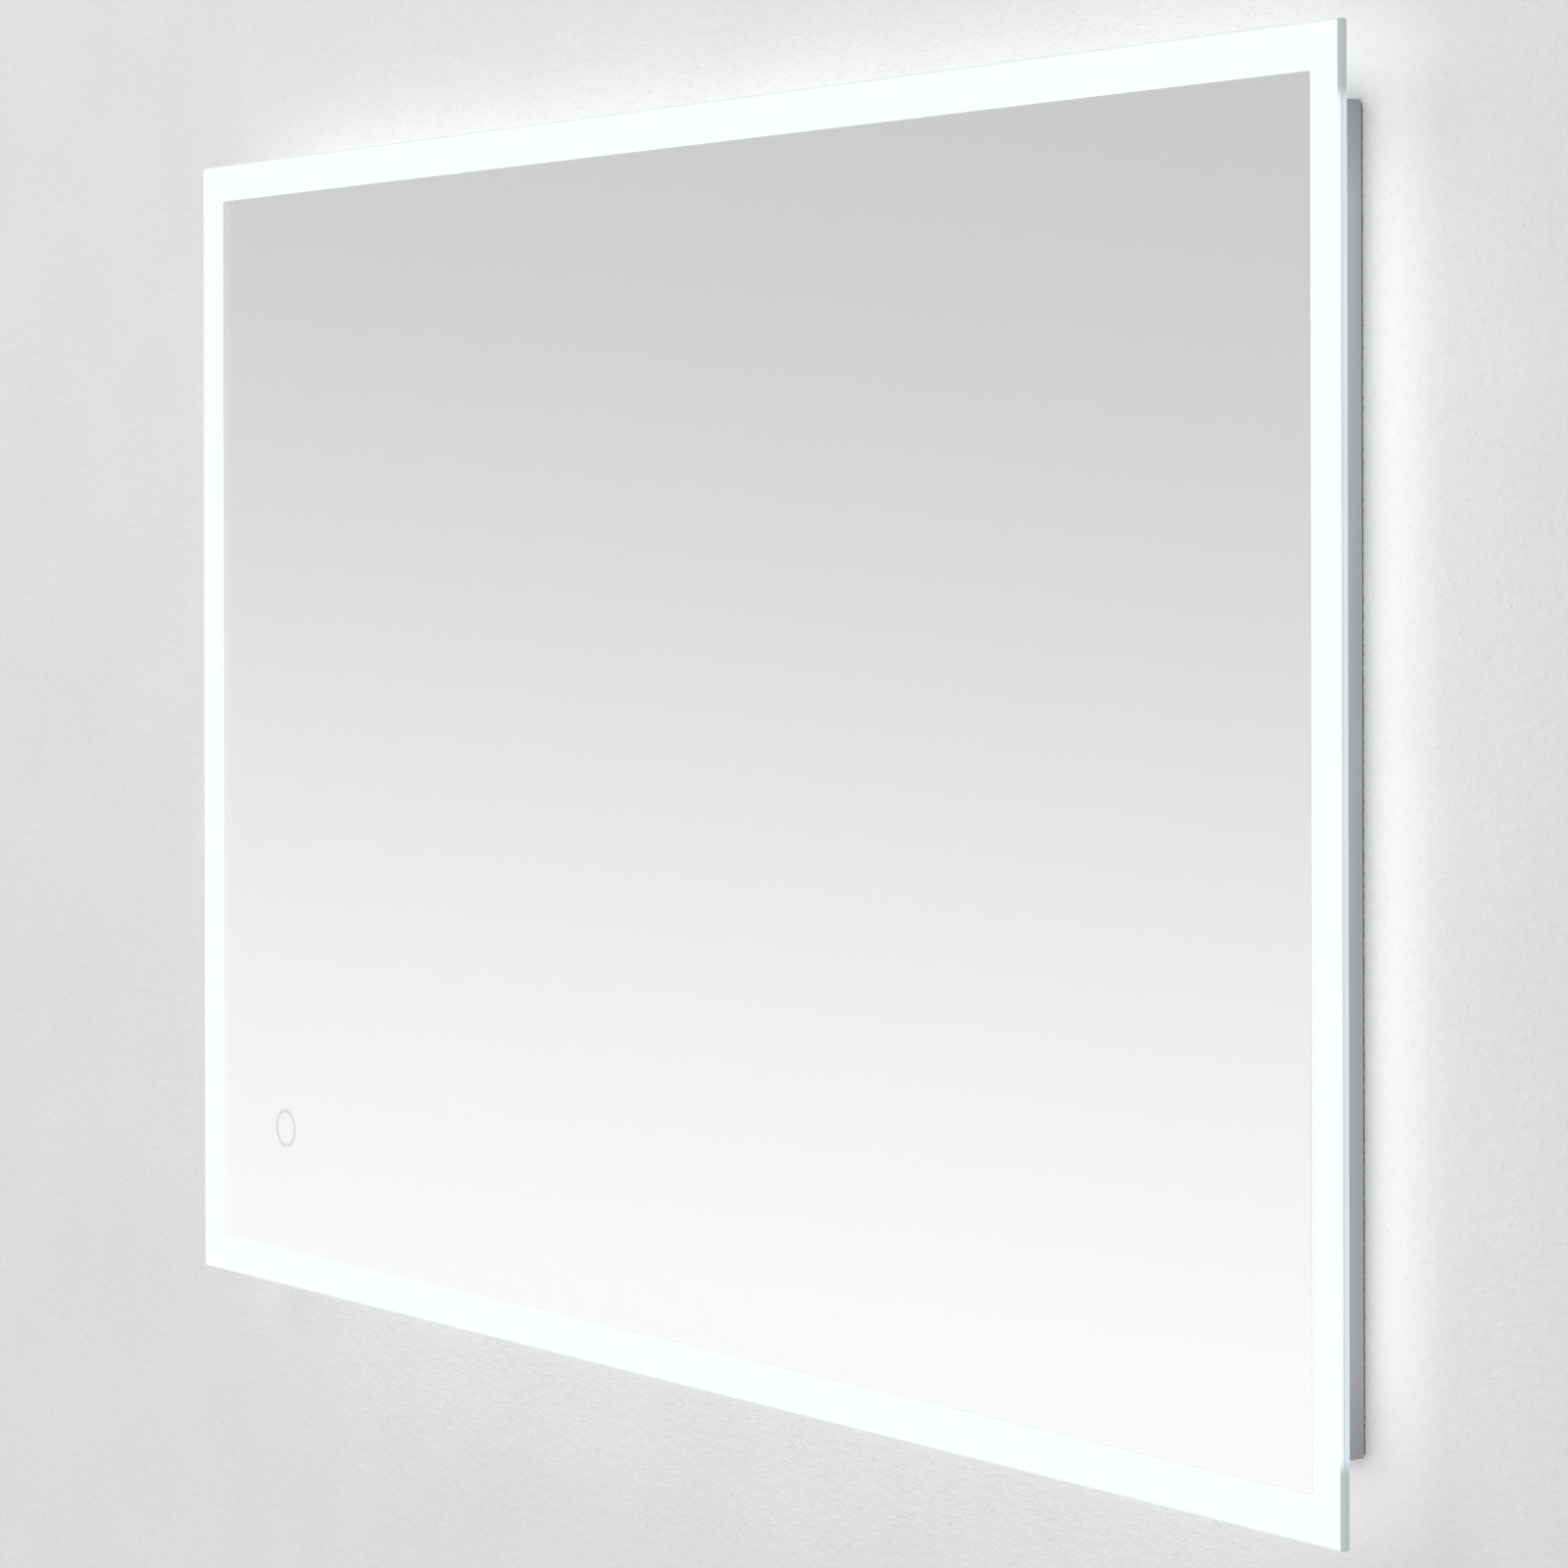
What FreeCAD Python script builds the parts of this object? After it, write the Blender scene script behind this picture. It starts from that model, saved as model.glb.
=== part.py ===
import FreeCAD, Part
import math
import os

Vector = FreeCAD.Vector

# Frame of the model, in millimetres: +X to the right seen from the front, +Y into the
# wall, +Z up. Y = 0 is the wall, and the origin is the middle of the wall rail's screws.

# Mirror pane: clear float glass with ground edges and a blasted border on its back.
pane_width = 900.0
pane_height = 600.0
pane_thickness = 5.0
pane_corner_radius = 1.0
pane_arris = 0.8
frost_width = 19.2
frost_depth = 0.1

# Touch mark: a ring left clear of silver near the lower left corner.
ring_from_left = 84.4
ring_from_bottom = 83.3
ring_outer_radius = 10.0
ring_width = 1.5

# Layers behind the pane.
silver_thickness = 0.1
film_thickness = 0.15
film_step_in = 1.0
tape_thickness = 0.75
tape_width = 13.0
tape_from_edge = 3.5

# Light frame: four mitred lengths of one aluminium section.
frame_inset = 28.0
section_width = 20.0
section_wall = 1.6
channel_depth = 10.0
channel_width = 20.4
flange_lip = 4.5
snap_rib_from_mouth = 2.0
snap_rib_length = 0.8
snap_rib_lead = 0.3
snap_rib_height = 0.5
bend_radius_small = 0.4
bend_radius_large = 0.8

# Diffusers snapped into the channel.
diffuser_wall = 1.0
diffuser_dome = 0.8
diffuser_leg_length = 2.3
diffuser_leg_wall = 0.9
diffuser_barb = 0.45
diffuser_barb_lead = 0.2
diffuser_clearance = 0.1
diffuser_end_gap = 0.3

# Light tape.
tape_board_width = 10.0
tape_board_thickness = 0.4
tape_end_margin = 6.0
chip_pitch = 25.0
chip_length = 3.5
chip_width = 2.8
chip_height = 0.8
chip_end_margin = 8.0
link_width = 7.0
link_thickness = 0.8
link_lap = 3.0
link_bend_radius = 1.5

# Corner keys in the rear chamber of the section.
key_arm_length = 46.0
key_clearance = 0.2
key_wall = 2.0
key_floor = 2.2
key_tip_chamfer = 2.0
key_screw_from_corner = 33.0

# Wall rail and hanging rail: two hooked sections.
wall_gap = 1.0
rail_wall = 2.0
wall_rail_length = 480.0
hanging_rail_length = 460.0
hanging_lip_wall = 1.8
hook_clearance_rail = 0.3
hook_overlap = 12.0
wall_rail_lip_height = 20.0
wall_rail_base_height = 27.0
hanging_leg_width = 11.0
slot_spacing = 400.0
slot_length = 12.0
slot_radius = 2.5
hole_spacing = 160.0
hole_radius = 2.5

# Blind rivets of the hanging rail.
rivet_count = 4
rivet_pitch = 136.0
rivet_radius = 1.6
rivet_head_radius = 2.7
rivet_crown_radius = 1.62
rivet_head_height = 1.0
rivet_bulb_radius = 1.8
rivet_bulb_length = 3.5
rivet_head_clearance = 0.4
rivet_bulb_clearance = 0.4

# Rubber bumpers between the frame and the wall.
bumper_radius = 7.0
bumper_from_corner = 78.0

# Driver case, stuck to the film with foam pads.
driver_x = 20.0
driver_h = 92.0
driver_length = 168.0
driver_height = 60.0
driver_base_depth = 22.0
driver_wall = 2.0
driver_corner_radius = 5.0
driver_boss_inset = 5.6
driver_boss_size = 9.5
driver_boss_round = 2.5
lid_thickness = 2.2
lid_lip_wall = 1.2
lid_lip_depth = 1.2
lid_lip_clearance = 0.2
foam_thickness = 1.0
foam_length = 60.0
foam_width = 46.0
groove_count = 3
groove_pitch = 20.0
groove_width = 3.0
groove_length = 30.0
groove_depth = 0.6

# Driver circuit board and what stands on it.
board_length = 112.0
board_width = 42.0
board_thickness = 1.6
board_standoff = 5.0
board_shift = -16.0
board_edge_gap = 0.2
board_rail_width = 4.0
board_rail_inset = 6.0
board_hook_width = 8.0
board_hook_wall = 1.6
board_hook_nose = 1.0
board_hook_spacing = 70.0
terminal_length = 24.0
terminal_width = 13.0
terminal_height = 11.0
terminal_inset = 14.0
terminal_mouth_low = 3.0
terminal_mouth_high = 6.5
terminal_mouth_half = 3.0
terminal_screw_radius = 2.4
terminal_screw_length = 2.5
terminal_slot_width = 0.8
capacitors = [(-38.0, 8.0, 5.0, 12.0), (-38.0, -8.0, 5.0, 12.0), (20.0, 9.0, 4.0, 11.0)]
capacitor_roll = 0.6
core_width = 26.0
core_height = 24.0
core_depth = 7.0
core_limb = 5.0
core_shift = -6.0
coil_depth = 12.5
coil_clearance = 0.3

# Cord gland in the right end of the driver case.
gland_thread_radius = 7.6
gland_flat = 19.0
gland_nut_flat = 18.0
gland_flange_thickness = 4.0
gland_inner_length = 8.0
gland_outer_length = 9.0
gland_nut_thickness = 4.0
gland_cap_length = 15.0
gland_cap_start = 0.5
gland_cap_bore_extra = 0.5
gland_cord_radius = 4.0
gland_seal_radius = 6.0
gland_seal_length = 8.0

# Touch sensor case behind the ring.
sensor_radius = 17.0
sensor_depth = 11.0
sensor_wall = 1.6
sensor_pad_thickness = 0.8
sensor_board_depth = 3.4
sensor_board_thickness = 1.2
sensor_ledge = 1.2
electrode_radius = 6.0
electrode_flange = 0.9
electrode_wall = 0.4
ring_skirt = 0.6
ring_chip_height = 0.8

# Leads and what guides them.
supply_lead_radius = 2.0
strip_lead_radius = 1.5
lead_bore_clearance = 0.1
grommet_lip = 1.4
grommet_lip_thickness = 1.0
grommet_hole_gap = 1.2
clip_base = 12.0
clip_base_thickness = 1.0
clip_wall = 1.3
clip_length = 8.0
clip_mouth = 2.4

# Screws.
screw_radius = 1.5
screw_clearance = 0.1
screw_head_radius = 2.8
key_screw_length = 7.0
lid_screw_length = 10.0
socket_share = 0.9
socket_depth = 0.9

# The chamber behind the channel is as deep as the rivets need, whose heads clear the wall rail's lip.
lip_stack = hanging_lip_wall + hook_clearance_rail + rail_wall
rivet_from_rear = lip_stack + rivet_head_radius + rivet_head_clearance
chamber_depth = rivet_from_rear + rivet_bulb_radius + rivet_bulb_clearance - section_wall
frame_depth = 3 * section_wall + channel_width + chamber_depth

# Places that follow from the sizes above.
frame_rear_y = -wall_gap
frame_front_y = frame_rear_y - frame_depth
film_rear_y = frame_front_y - tape_thickness
film_front_y = film_rear_y - film_thickness
pane_rear_y = film_front_y - silver_thickness
pane_front_y = pane_rear_y - pane_thickness
driver_front_y = film_rear_y + foam_thickness
driver_floor_y = driver_front_y + driver_wall
supply_hole_radius = supply_lead_radius + lead_bore_clearance + grommet_hole_gap
strip_hole_radius = strip_lead_radius + lead_bore_clearance + grommet_hole_gap
lead_y = driver_floor_y + supply_hole_radius + grommet_lip + 2 * lead_bore_clearance
frame_half_width = pane_width / 2 - frame_inset
frame_half_height = pane_height / 2 - frame_inset
hanging_leg_top_h = frame_half_height - section_width
rail_contact_h = hanging_leg_top_h - rail_wall
rail_screw_h = rail_contact_h - wall_rail_lip_height - rail_wall / 2 - wall_rail_base_height / 2
centre_z = -rail_screw_h
ring_x = -pane_width / 2 + ring_from_left
ring_h = -pane_height / 2 + ring_from_bottom
ring_inner_radius = ring_outer_radius - ring_width
channel_end = section_wall + channel_width
chamber_front = channel_end + section_wall
chamber_rear = frame_depth - section_wall
channel_middle_v = section_wall + channel_width / 2
chamber_middle_u = section_width / 2


def point(x, y, h):
    """A point given by its height h above the middle of the pane."""
    return Vector(x, y, centre_z + h)


def rounded_loop(corners, place):
    """A closed wire through corners (a, b, radius), each rounded by its own radius."""
    stations = []
    for i, (a, b, radius) in enumerate(corners):
        here = Vector(a, b, 0)
        before = Vector(*corners[i - 1][:2], 0)
        after = Vector(*corners[(i + 1) % len(corners)][:2], 0)
        if radius == 0:
            stations.append((here, None, here))
            continue
        back = (before - here).normalize()
        ahead = (after - here).normalize()
        half = back.getAngle(ahead) / 2
        setback = radius / math.tan(half)
        centre = here + (back + ahead).normalize() * (radius / math.sin(half))
        middle = centre + (here - centre).normalize() * radius
        stations.append((here + back * setback, middle, here + ahead * setback))
    edges = []
    for i, (start, middle, end) in enumerate(stations):
        if middle is not None:
            arc = Part.Arc(place(start.x, start.y), place(middle.x, middle.y), place(end.x, end.y))
            edges.append(arc.toShape())
        following = stations[(i + 1) % len(stations)][0]
        if (following - end).Length > 1e-6:
            edges.append(Part.LineSegment(place(end.x, end.y), place(following.x, following.y)).toShape())
    return Part.Wire(edges)


def prism(wires, run):
    """The solid that a face with these outlines, the first outside the rest, sweeps along run."""
    return Part.makeFace(wires, "Part::FaceMakerBullseye").extrude(run)


def rectangle(half_width, half_height, radius):
    """The corners of a rectangle about the origin, as rounded_loop takes them."""
    return [
        (-half_width, -half_height, radius),
        (half_width, -half_height, radius),
        (half_width, half_height, radius),
        (-half_width, half_height, radius),
    ]


def slab(x, h, half_width, half_height, radius, y_front, y_rear):
    """A flat piece parallel to the wall, from y_front to y_rear, with rounded corners."""
    corners = rectangle(half_width, half_height, radius)
    loop = rounded_loop(corners, lambda a, b: point(x + a, y_front, h + b))
    return prism([loop], Vector(0, y_rear - y_front, 0))


def block(x_low, x_high, y_low, y_high, h_low, h_high):
    """A square-cornered block between two corners."""
    size = (x_high - x_low, y_high - y_low, h_high - h_low)
    return Part.makeBox(*size, point(x_low, y_low, h_low))


def disc(x, h, radius, y_front, y_rear):
    """A round piece whose axis is square to the wall."""
    return Part.makeCylinder(radius, y_rear - y_front, point(x, y_front, h), Vector(0, 1, 0))


def turned(profile, origin, axis):
    """A solid of revolution: profile holds (distance along axis, radius) from end to end."""
    along = Vector(axis).normalize()
    out = Vector(0, 0, 1) if abs(along.z) < 0.9 else Vector(1, 0, 0)
    ring = [origin + along * t + out * r for t, r in profile]
    wire = Part.makePolygon(ring + [ring[0]])
    return Part.Face(wire).revolve(origin, along, 360)


def hexagon(across_flats, thickness, origin, axis):
    """A hexagonal bar with a corner upwards, as on a nut or in a socket."""
    corner = across_flats / math.sqrt(3)
    up = Vector(0, 0, 1)
    side = up.cross(axis)
    angles = [k * math.pi / 3 for k in range(7)]
    ring = [origin + (up * math.cos(angle) + side * math.sin(angle)) * corner for angle in angles]
    return Part.Face(Part.makePolygon(ring)).extrude(Vector(axis) * thickness)


def countersunk_screw(origin, axis, length):
    """A countersunk socket screw whose head is flush at origin; axis points along the shank."""
    head_height = screw_head_radius - screw_radius
    profile = [(0, 0), (0, screw_head_radius), (head_height, screw_radius)]
    profile += [(length, screw_radius), (length, 0)]
    socket = hexagon(screw_head_radius * socket_share, socket_depth, origin, axis)
    return turned(profile, origin, axis).cut(socket)


def countersunk_hole(origin, axis, depth):
    """The space a countersunk screw needs, with its clearance all round."""
    rim = screw_head_radius + screw_clearance
    bore = screw_radius + screw_clearance
    return turned([(0, 0), (0, rim), (rim - bore, bore), (depth, bore), (depth, 0)], origin, axis)


def tube_path(points):
    """Straight runs joined by tangent arcs as large as they allow, as (start, end) and arc data."""
    arcs = []
    for before, here, after in zip(points, points[1:], points[2:]):
        back = (before - here).normalize()
        ahead = (after - here).normalize()
        turn = math.pi - back.getAngle(ahead)
        setback = 0.45 * min((before - here).Length, (after - here).Length)
        radius = setback / math.tan(turn / 2)
        centre = here + (back + ahead).normalize() * math.hypot(radius, setback)
        arcs.append((here + back * setback, here + ahead * setback, centre, ahead.cross(back), turn, radius))
    starts = [points[0]] + [arc[1] for arc in arcs]
    ends = [arc[0] for arc in arcs] + [points[-1]]
    return list(zip(starts, ends)), arcs


def tube(points, radius, name):
    """A round lead along the points, run by run and bend by bend; its length and bends are printed."""
    runs, arcs = tube_path(points)
    pieces = []
    for start, end in runs:
        pieces.append(Part.makeCylinder(radius, (end - start).Length, start, end - start))
    for start, _, centre, axis, turn, bend in arcs:
        along = axis.cross(start - centre)
        section = Part.Face(Part.Wire(Part.makeCircle(radius, start, along)))
        pieces.append(section.revolve(centre, axis, math.degrees(turn)))
    solid = pieces[0].multiFuse(pieces[1:])
    length = sum((end - start).Length for start, end in runs) + sum(arc[4] * arc[5] for arc in arcs)
    figures = ", ".join(f"{arc[5]:.1f}" for arc in arcs)
    share = solid.Volume / (math.pi * radius**2 * length)
    print(f"{name}: length {length:.1f}, bends {figures}")
    print(f"{name}: volume {share:.4f} of its section times its length, valid {solid.isValid()}")
    return solid


def mirrored_corners(shape):
    """Copies of a piece at the upper right corner for all four corners of the frame."""
    middle = point(0, 0, 0)
    across = shape.mirror(middle, Vector(1, 0, 0))
    pair = [shape, across]
    return pair + [piece.mirror(middle, Vector(0, 0, 1)) for piece in pair]


def save(name, solids):
    """Write one node; solids is a shape or a list of separate shapes."""
    shapes = solids if isinstance(solids, list) else [solids]
    loose = [solid for shape in shapes for solid in shape.Solids]
    shape = loose[0] if len(loose) == 1 else Part.makeCompound(loose)
    shape.exportStep(f"parts/{name}.step")
    written.append(name)


# The four sides of the frame: turn about the pane's middle, half length, reach of its outer face.
sides = {
    "top": (0, frame_half_width, frame_half_height),
    "right": (90, frame_half_height, frame_half_width),
    "bottom": (180, frame_half_width, frame_half_height),
    "left": (270, frame_half_height, frame_half_width),
}


def turned_to_side(shape, side):
    """A piece made for the top side, turned to the side named."""
    placed = shape.copy()
    placed.rotate(point(0, 0, 0), Vector(0, 1, 0), sides[side][0])
    return placed


def mitred(shape, side, gap):
    """Cut the ends of a straight length at 45 degrees, a gap short of the mitre plane."""
    half_length, reach = sides[side][1:]
    outer = half_length - gap
    inner = outer - section_width
    corners = [
        (-outer, reach, 0),
        (outer, reach, 0),
        (inner, reach - section_width, 0),
        (-inner, reach - section_width, 0),
    ]
    loop = rounded_loop(corners, lambda a, b: point(a, frame_front_y, b))
    return shape.common(prism([loop], Vector(0, frame_depth, 0)))


def length_of_section(side, loops, gap):
    """A mitred length of a section given by loops of (u in from the outer face, v from the front)."""
    half_length, reach = sides[side][1:]
    wires = [
        rounded_loop(loop, lambda u, v: point(-half_length, frame_front_y + v, reach - u))
        for loop in loops
    ]
    return mitred(prism(wires, Vector(2 * half_length, 0, 0)), side, gap)


# ------------------------------------------------------------------ pane and its layers


def mirror_pane():
    """The glass: arrised all round, with the border and the ring blasted into its back."""
    glass = slab(0, 0, pane_width / 2, pane_height / 2, pane_corner_radius, pane_front_y, pane_rear_y)
    rims = [edge for edge in glass.Edges if abs(edge.BoundBox.YLength) < 1e-6]
    glass = glass.makeChamfer(pane_arris, rims)
    border = slab(0, 0, pane_width / 2, pane_height / 2, 0, pane_rear_y - frost_depth, pane_rear_y)
    field = slab(0, 0, pane_width / 2 - frost_width, pane_height / 2 - frost_width, 0, pane_front_y, 0)
    ring = disc(ring_x, ring_h, ring_outer_radius, pane_rear_y - frost_depth, pane_rear_y)
    core = disc(ring_x, ring_h, ring_inner_radius, pane_front_y, 0)
    return glass.cut(border.cut(field)).cut(ring.cut(core))


def silver_layer():
    """The silver and its paint, up to the border, with the ring window open."""
    field = slab(
        0, 0, pane_width / 2 - frost_width, pane_height / 2 - frost_width, 0, pane_rear_y, film_front_y
    )
    window = disc(ring_x, ring_h, ring_outer_radius, pane_rear_y, film_front_y)
    spot = disc(ring_x, ring_h, ring_inner_radius, pane_rear_y, film_front_y)
    return [field.cut(window), spot]


def safety_film():
    """The film that holds the glass together if it breaks, open where the sensor looks through."""
    inset = frost_width + film_step_in
    film = slab(0, 0, pane_width / 2 - inset, pane_height / 2 - inset, 0, film_front_y, film_rear_y)
    return film.cut(disc(ring_x, ring_h, ring_outer_radius + film_step_in, film_front_y, film_rear_y))


def bonding_tape():
    """Four strips of double-sided tape on the front of the frame, butted at the corners."""
    long_half = frame_half_width - tape_from_edge
    top = frame_half_height - tape_from_edge
    strips = []
    for way in (1, -1):
        middle = way * (top - tape_width / 2)
        strips.append(slab(0, middle, long_half, tape_width / 2, 0, film_rear_y, frame_front_y))
        across = way * (long_half - tape_width / 2)
        strips.append(slab(across, 0, tape_width / 2, top - tape_width, 0, film_rear_y, frame_front_y))
    return strips


# ------------------------------------------------------------------ light frame


def frame_section():
    """The frame's section: a light channel open outwards, and a closed chamber behind it."""
    small = bend_radius_small
    large = bend_radius_large
    wall = section_wall
    rib_in = snap_rib_from_mouth
    rib_top = rib_in + snap_rib_lead
    rib_out = rib_in + snap_rib_length
    rear_rib = channel_end - snap_rib_height
    front_rib = wall + snap_rib_height
    outside = [
        (0, 0, small),
        (section_width, 0, small),
        (section_width, flange_lip, 0),
        (section_width - wall, flange_lip, 0),
        (section_width - wall, wall, 0),
        (channel_depth + wall, wall, 0),
        (channel_depth + wall, channel_end, 0),
        (section_width, channel_end, 0),
        (section_width, frame_depth, large),
        (0, frame_depth, large),
        (0, channel_end, small),
        (rib_in, channel_end, 0),
        (rib_top, rear_rib, 0),
        (rib_out, rear_rib, 0),
        (rib_out, channel_end, 0),
        (channel_depth, channel_end, 0),
        (channel_depth, wall, 0),
        (rib_out, wall, 0),
        (rib_out, front_rib, 0),
        (rib_top, front_rib, 0),
        (rib_in, wall, 0),
        (0, wall, small),
    ]
    chamber = [
        (wall, chamber_front, 0),
        (section_width - wall, chamber_front, 0),
        (section_width - wall, chamber_rear, 0),
        (wall, chamber_rear, 0),
    ]
    return [outside, chamber]


def key_screw_places():
    """Where the corner key screws go: two at each corner, one through each side."""
    near = chamber_middle_u
    far = key_screw_from_corner
    places = []
    for way_x in (1, -1):
        for way_h in (1, -1):
            places.append((way_x * (frame_half_width - far), way_h * (frame_half_height - near)))
            places.append((way_x * (frame_half_width - near), way_h * (frame_half_height - far)))
    return places


def rivet_places():
    """Where the rivets of the hanging rail go, along X."""
    return [(i - (rivet_count - 1) / 2) * rivet_pitch for i in range(rivet_count)]


web_inner_x = -frame_half_width + channel_depth + section_wall
rivet_y = frame_rear_y - rivet_from_rear


def frame_side(side):
    """One side of the frame with the holes that its neighbours need."""
    length = turned_to_side(length_of_section(side, frame_section(), 0), side)
    through = 3 * section_wall
    for x, h in key_screw_places():
        hole = countersunk_hole(point(x, frame_rear_y, h), Vector(0, -1, 0), through)
        length = length.cut(hole)
    if side == "top":
        bore = rivet_radius + screw_clearance / 2
        for x in rivet_places():
            start = point(x, rivet_y, hanging_leg_top_h - section_wall)
            length = length.cut(Part.makeCylinder(bore, through, start, Vector(0, 0, 1)))
    if side == "left":
        start = point(web_inner_x + section_wall, lead_y, ring_h)
        length = length.cut(Part.makeCylinder(strip_hole_radius, through, start, Vector(-1, 0, 0)))
    return length


def diffuser(side):
    """One opal cover: a domed face, and two legs whose barbs sit behind the channel's ribs."""
    half_length, reach = sides[side][1:]
    gap = diffuser_clearance
    front = section_wall + gap
    rear = channel_end - gap
    seat = snap_rib_from_mouth - gap
    edge = seat - diffuser_wall
    leg_out = snap_rib_height + gap
    barb_top = snap_rib_from_mouth + snap_rib_length + gap
    tip = seat + diffuser_leg_length
    place = lambda u, v: point(-half_length, frame_front_y + v, reach - u)
    leg = channel_end - leg_out
    leg_inside = leg - diffuser_leg_wall
    corners = [(edge, rear), (seat, rear), (seat, leg), (barb_top, leg)]
    corners += [(barb_top + diffuser_barb_lead, leg + diffuser_barb), (tip, leg)]
    corners += [(tip, leg_inside), (seat, leg_inside)]
    corners += [(u, section_wall + channel_end - v) for u, v in reversed(corners)]
    vertices = [place(u, v) for u, v in corners]
    edges = [Part.LineSegment(a, b).toShape() for a, b in zip(vertices, vertices[1:])]
    crown = place(edge - diffuser_dome, channel_middle_v)
    edges.append(Part.Arc(place(edge, front), crown, place(edge, rear)).toShape())
    solid = prism([Part.Wire(edges)], Vector(2 * half_length, 0, 0))
    return turned_to_side(mitred(solid, side, diffuser_end_gap), side)


def tape_runs(side):
    """The stretches of light tape on a side, as (start, end) along it in the top side's X."""
    end = sides[side][1] - channel_depth - tape_end_margin
    if side != "left":
        return [(-end, end)]
    gap = strip_hole_radius + grommet_lip + 1.0
    return [(-end, ring_h - gap), (ring_h + gap, end)]


def light_tape(side):
    """The flexible board of the light tape, stuck to the channel floor."""
    reach = sides[side][2]
    top = reach - channel_depth + tape_board_thickness
    middle = frame_front_y + channel_middle_v
    half = tape_board_width / 2
    boards = [
        block(start, end, middle - half, middle + half, reach - channel_depth, top)
        for start, end in tape_runs(side)
    ]
    return [turned_to_side(board, side) for board in boards]


def light_chips():
    """The light chips, evenly spaced along each stretch of tape."""
    chips = []
    middle = frame_front_y + channel_middle_v
    for side in sides:
        base = sides[side][2] - channel_depth + tape_board_thickness
        for start, end in tape_runs(side):
            count = int((end - start - 2 * chip_end_margin) / chip_pitch) + 1
            first = (start + end - (count - 1) * chip_pitch) / 2
            for k in range(count):
                x = first + k * chip_pitch
                chip = block(
                    x - chip_width / 2,
                    x + chip_width / 2,
                    middle - chip_length / 2,
                    middle + chip_length / 2,
                    base,
                    base + chip_height,
                )
                chips.append(turned_to_side(chip, side))
    return chips


def tape_links():
    """The flat two-core lead soldered round each corner, from one tape to the next."""
    corner_x = frame_half_width - channel_depth + tape_board_thickness
    corner_h = frame_half_height - channel_depth + tape_board_thickness
    lap = tape_end_margin + link_lap
    thick = link_thickness
    bend = link_bend_radius
    outline = [
        (corner_x - lap, corner_h, 0),
        (corner_x, corner_h, bend - thick),
        (corner_x, corner_h - lap, 0),
        (corner_x + thick, corner_h - lap, 0),
        (corner_x + thick, corner_h + thick, bend),
        (corner_x - lap, corner_h + thick, 0),
    ]
    y = frame_front_y + channel_middle_v - link_width / 2
    link = prism([rounded_loop(outline, lambda x, h: point(x, y, h))], Vector(0, link_width, 0))
    return mirrored_corners(link)


def corner_keys():
    """L-shaped cast keys in the rear chambers, ribbed, with tapered tips."""
    low = section_wall + key_clearance
    high = section_width - section_wall - key_clearance
    front = frame_front_y + chamber_front + key_clearance
    rear = frame_front_y + chamber_rear - key_clearance
    corner = lambda a, b: point(frame_half_width - a, front, frame_half_height - b)
    arm = key_arm_length
    tip = key_tip_chamfer
    arm_end = [(arm - tip, low), (arm, low + tip), (arm, high - tip), (arm - tip, high)]
    other_end = [(b, a) for a, b in reversed(arm_end)]
    outline = [(low, low)] + arm_end + [(high, high)] + other_end
    key = prism([rounded_loop([(a, b, 0) for a, b in outline], corner)], Vector(0, rear - front, 0))
    depth = rear - front - key_floor
    far = key_screw_from_corner
    rib = screw_radius + key_wall
    pocket_half = (high - low) / 2 - key_wall
    middle = (low + high) / 2
    pockets = [(high, far - rib), (far + rib, arm - key_wall)]
    for start, end in pockets:
        pocket = [(start, middle - pocket_half), (end, middle - pocket_half)]
        pocket += [(end, middle + pocket_half), (start, middle + pocket_half)]
        for swap in (False, True):
            corners = [(b, a, 0) if swap else (a, b, 0) for a, b in pocket]
            key = key.cut(prism([rounded_loop(corners, corner)], Vector(0, depth, 0)))
    bore = screw_radius + screw_clearance / 2
    for a, b in ((far, middle), (middle, far)):
        start = corner(a, b)
        key = key.cut(Part.makeCylinder(bore, rear - front, start, Vector(0, 1, 0)))
    return mirrored_corners(key)


def key_screws():
    """The countersunk screws that draw the corner keys against the rear wall of the section."""
    return [
        countersunk_screw(point(x, frame_rear_y, h), Vector(0, -1, 0), key_screw_length)
        for x, h in key_screw_places()
    ]


def wall_bumpers():
    """Round rubber pads on the rear of the frame, which keep it off the wall."""
    x = frame_half_width - bumper_from_corner
    h = frame_half_height - chamber_middle_u
    rim = bumper_radius - wall_gap / 2
    profile = [(0, 0), (0, bumper_radius), (wall_gap, rim), (wall_gap, 0)]
    return mirrored_corners(turned(profile, point(x, frame_rear_y, h), Vector(0, 1, 0)))


# ------------------------------------------------------------------ rails

hanging_lip_rear = frame_rear_y
hanging_lip_front = hanging_lip_rear - hanging_lip_wall
wall_lip_rear = hanging_lip_front - hook_clearance_rail
wall_lip_front = wall_lip_rear - rail_wall


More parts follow.
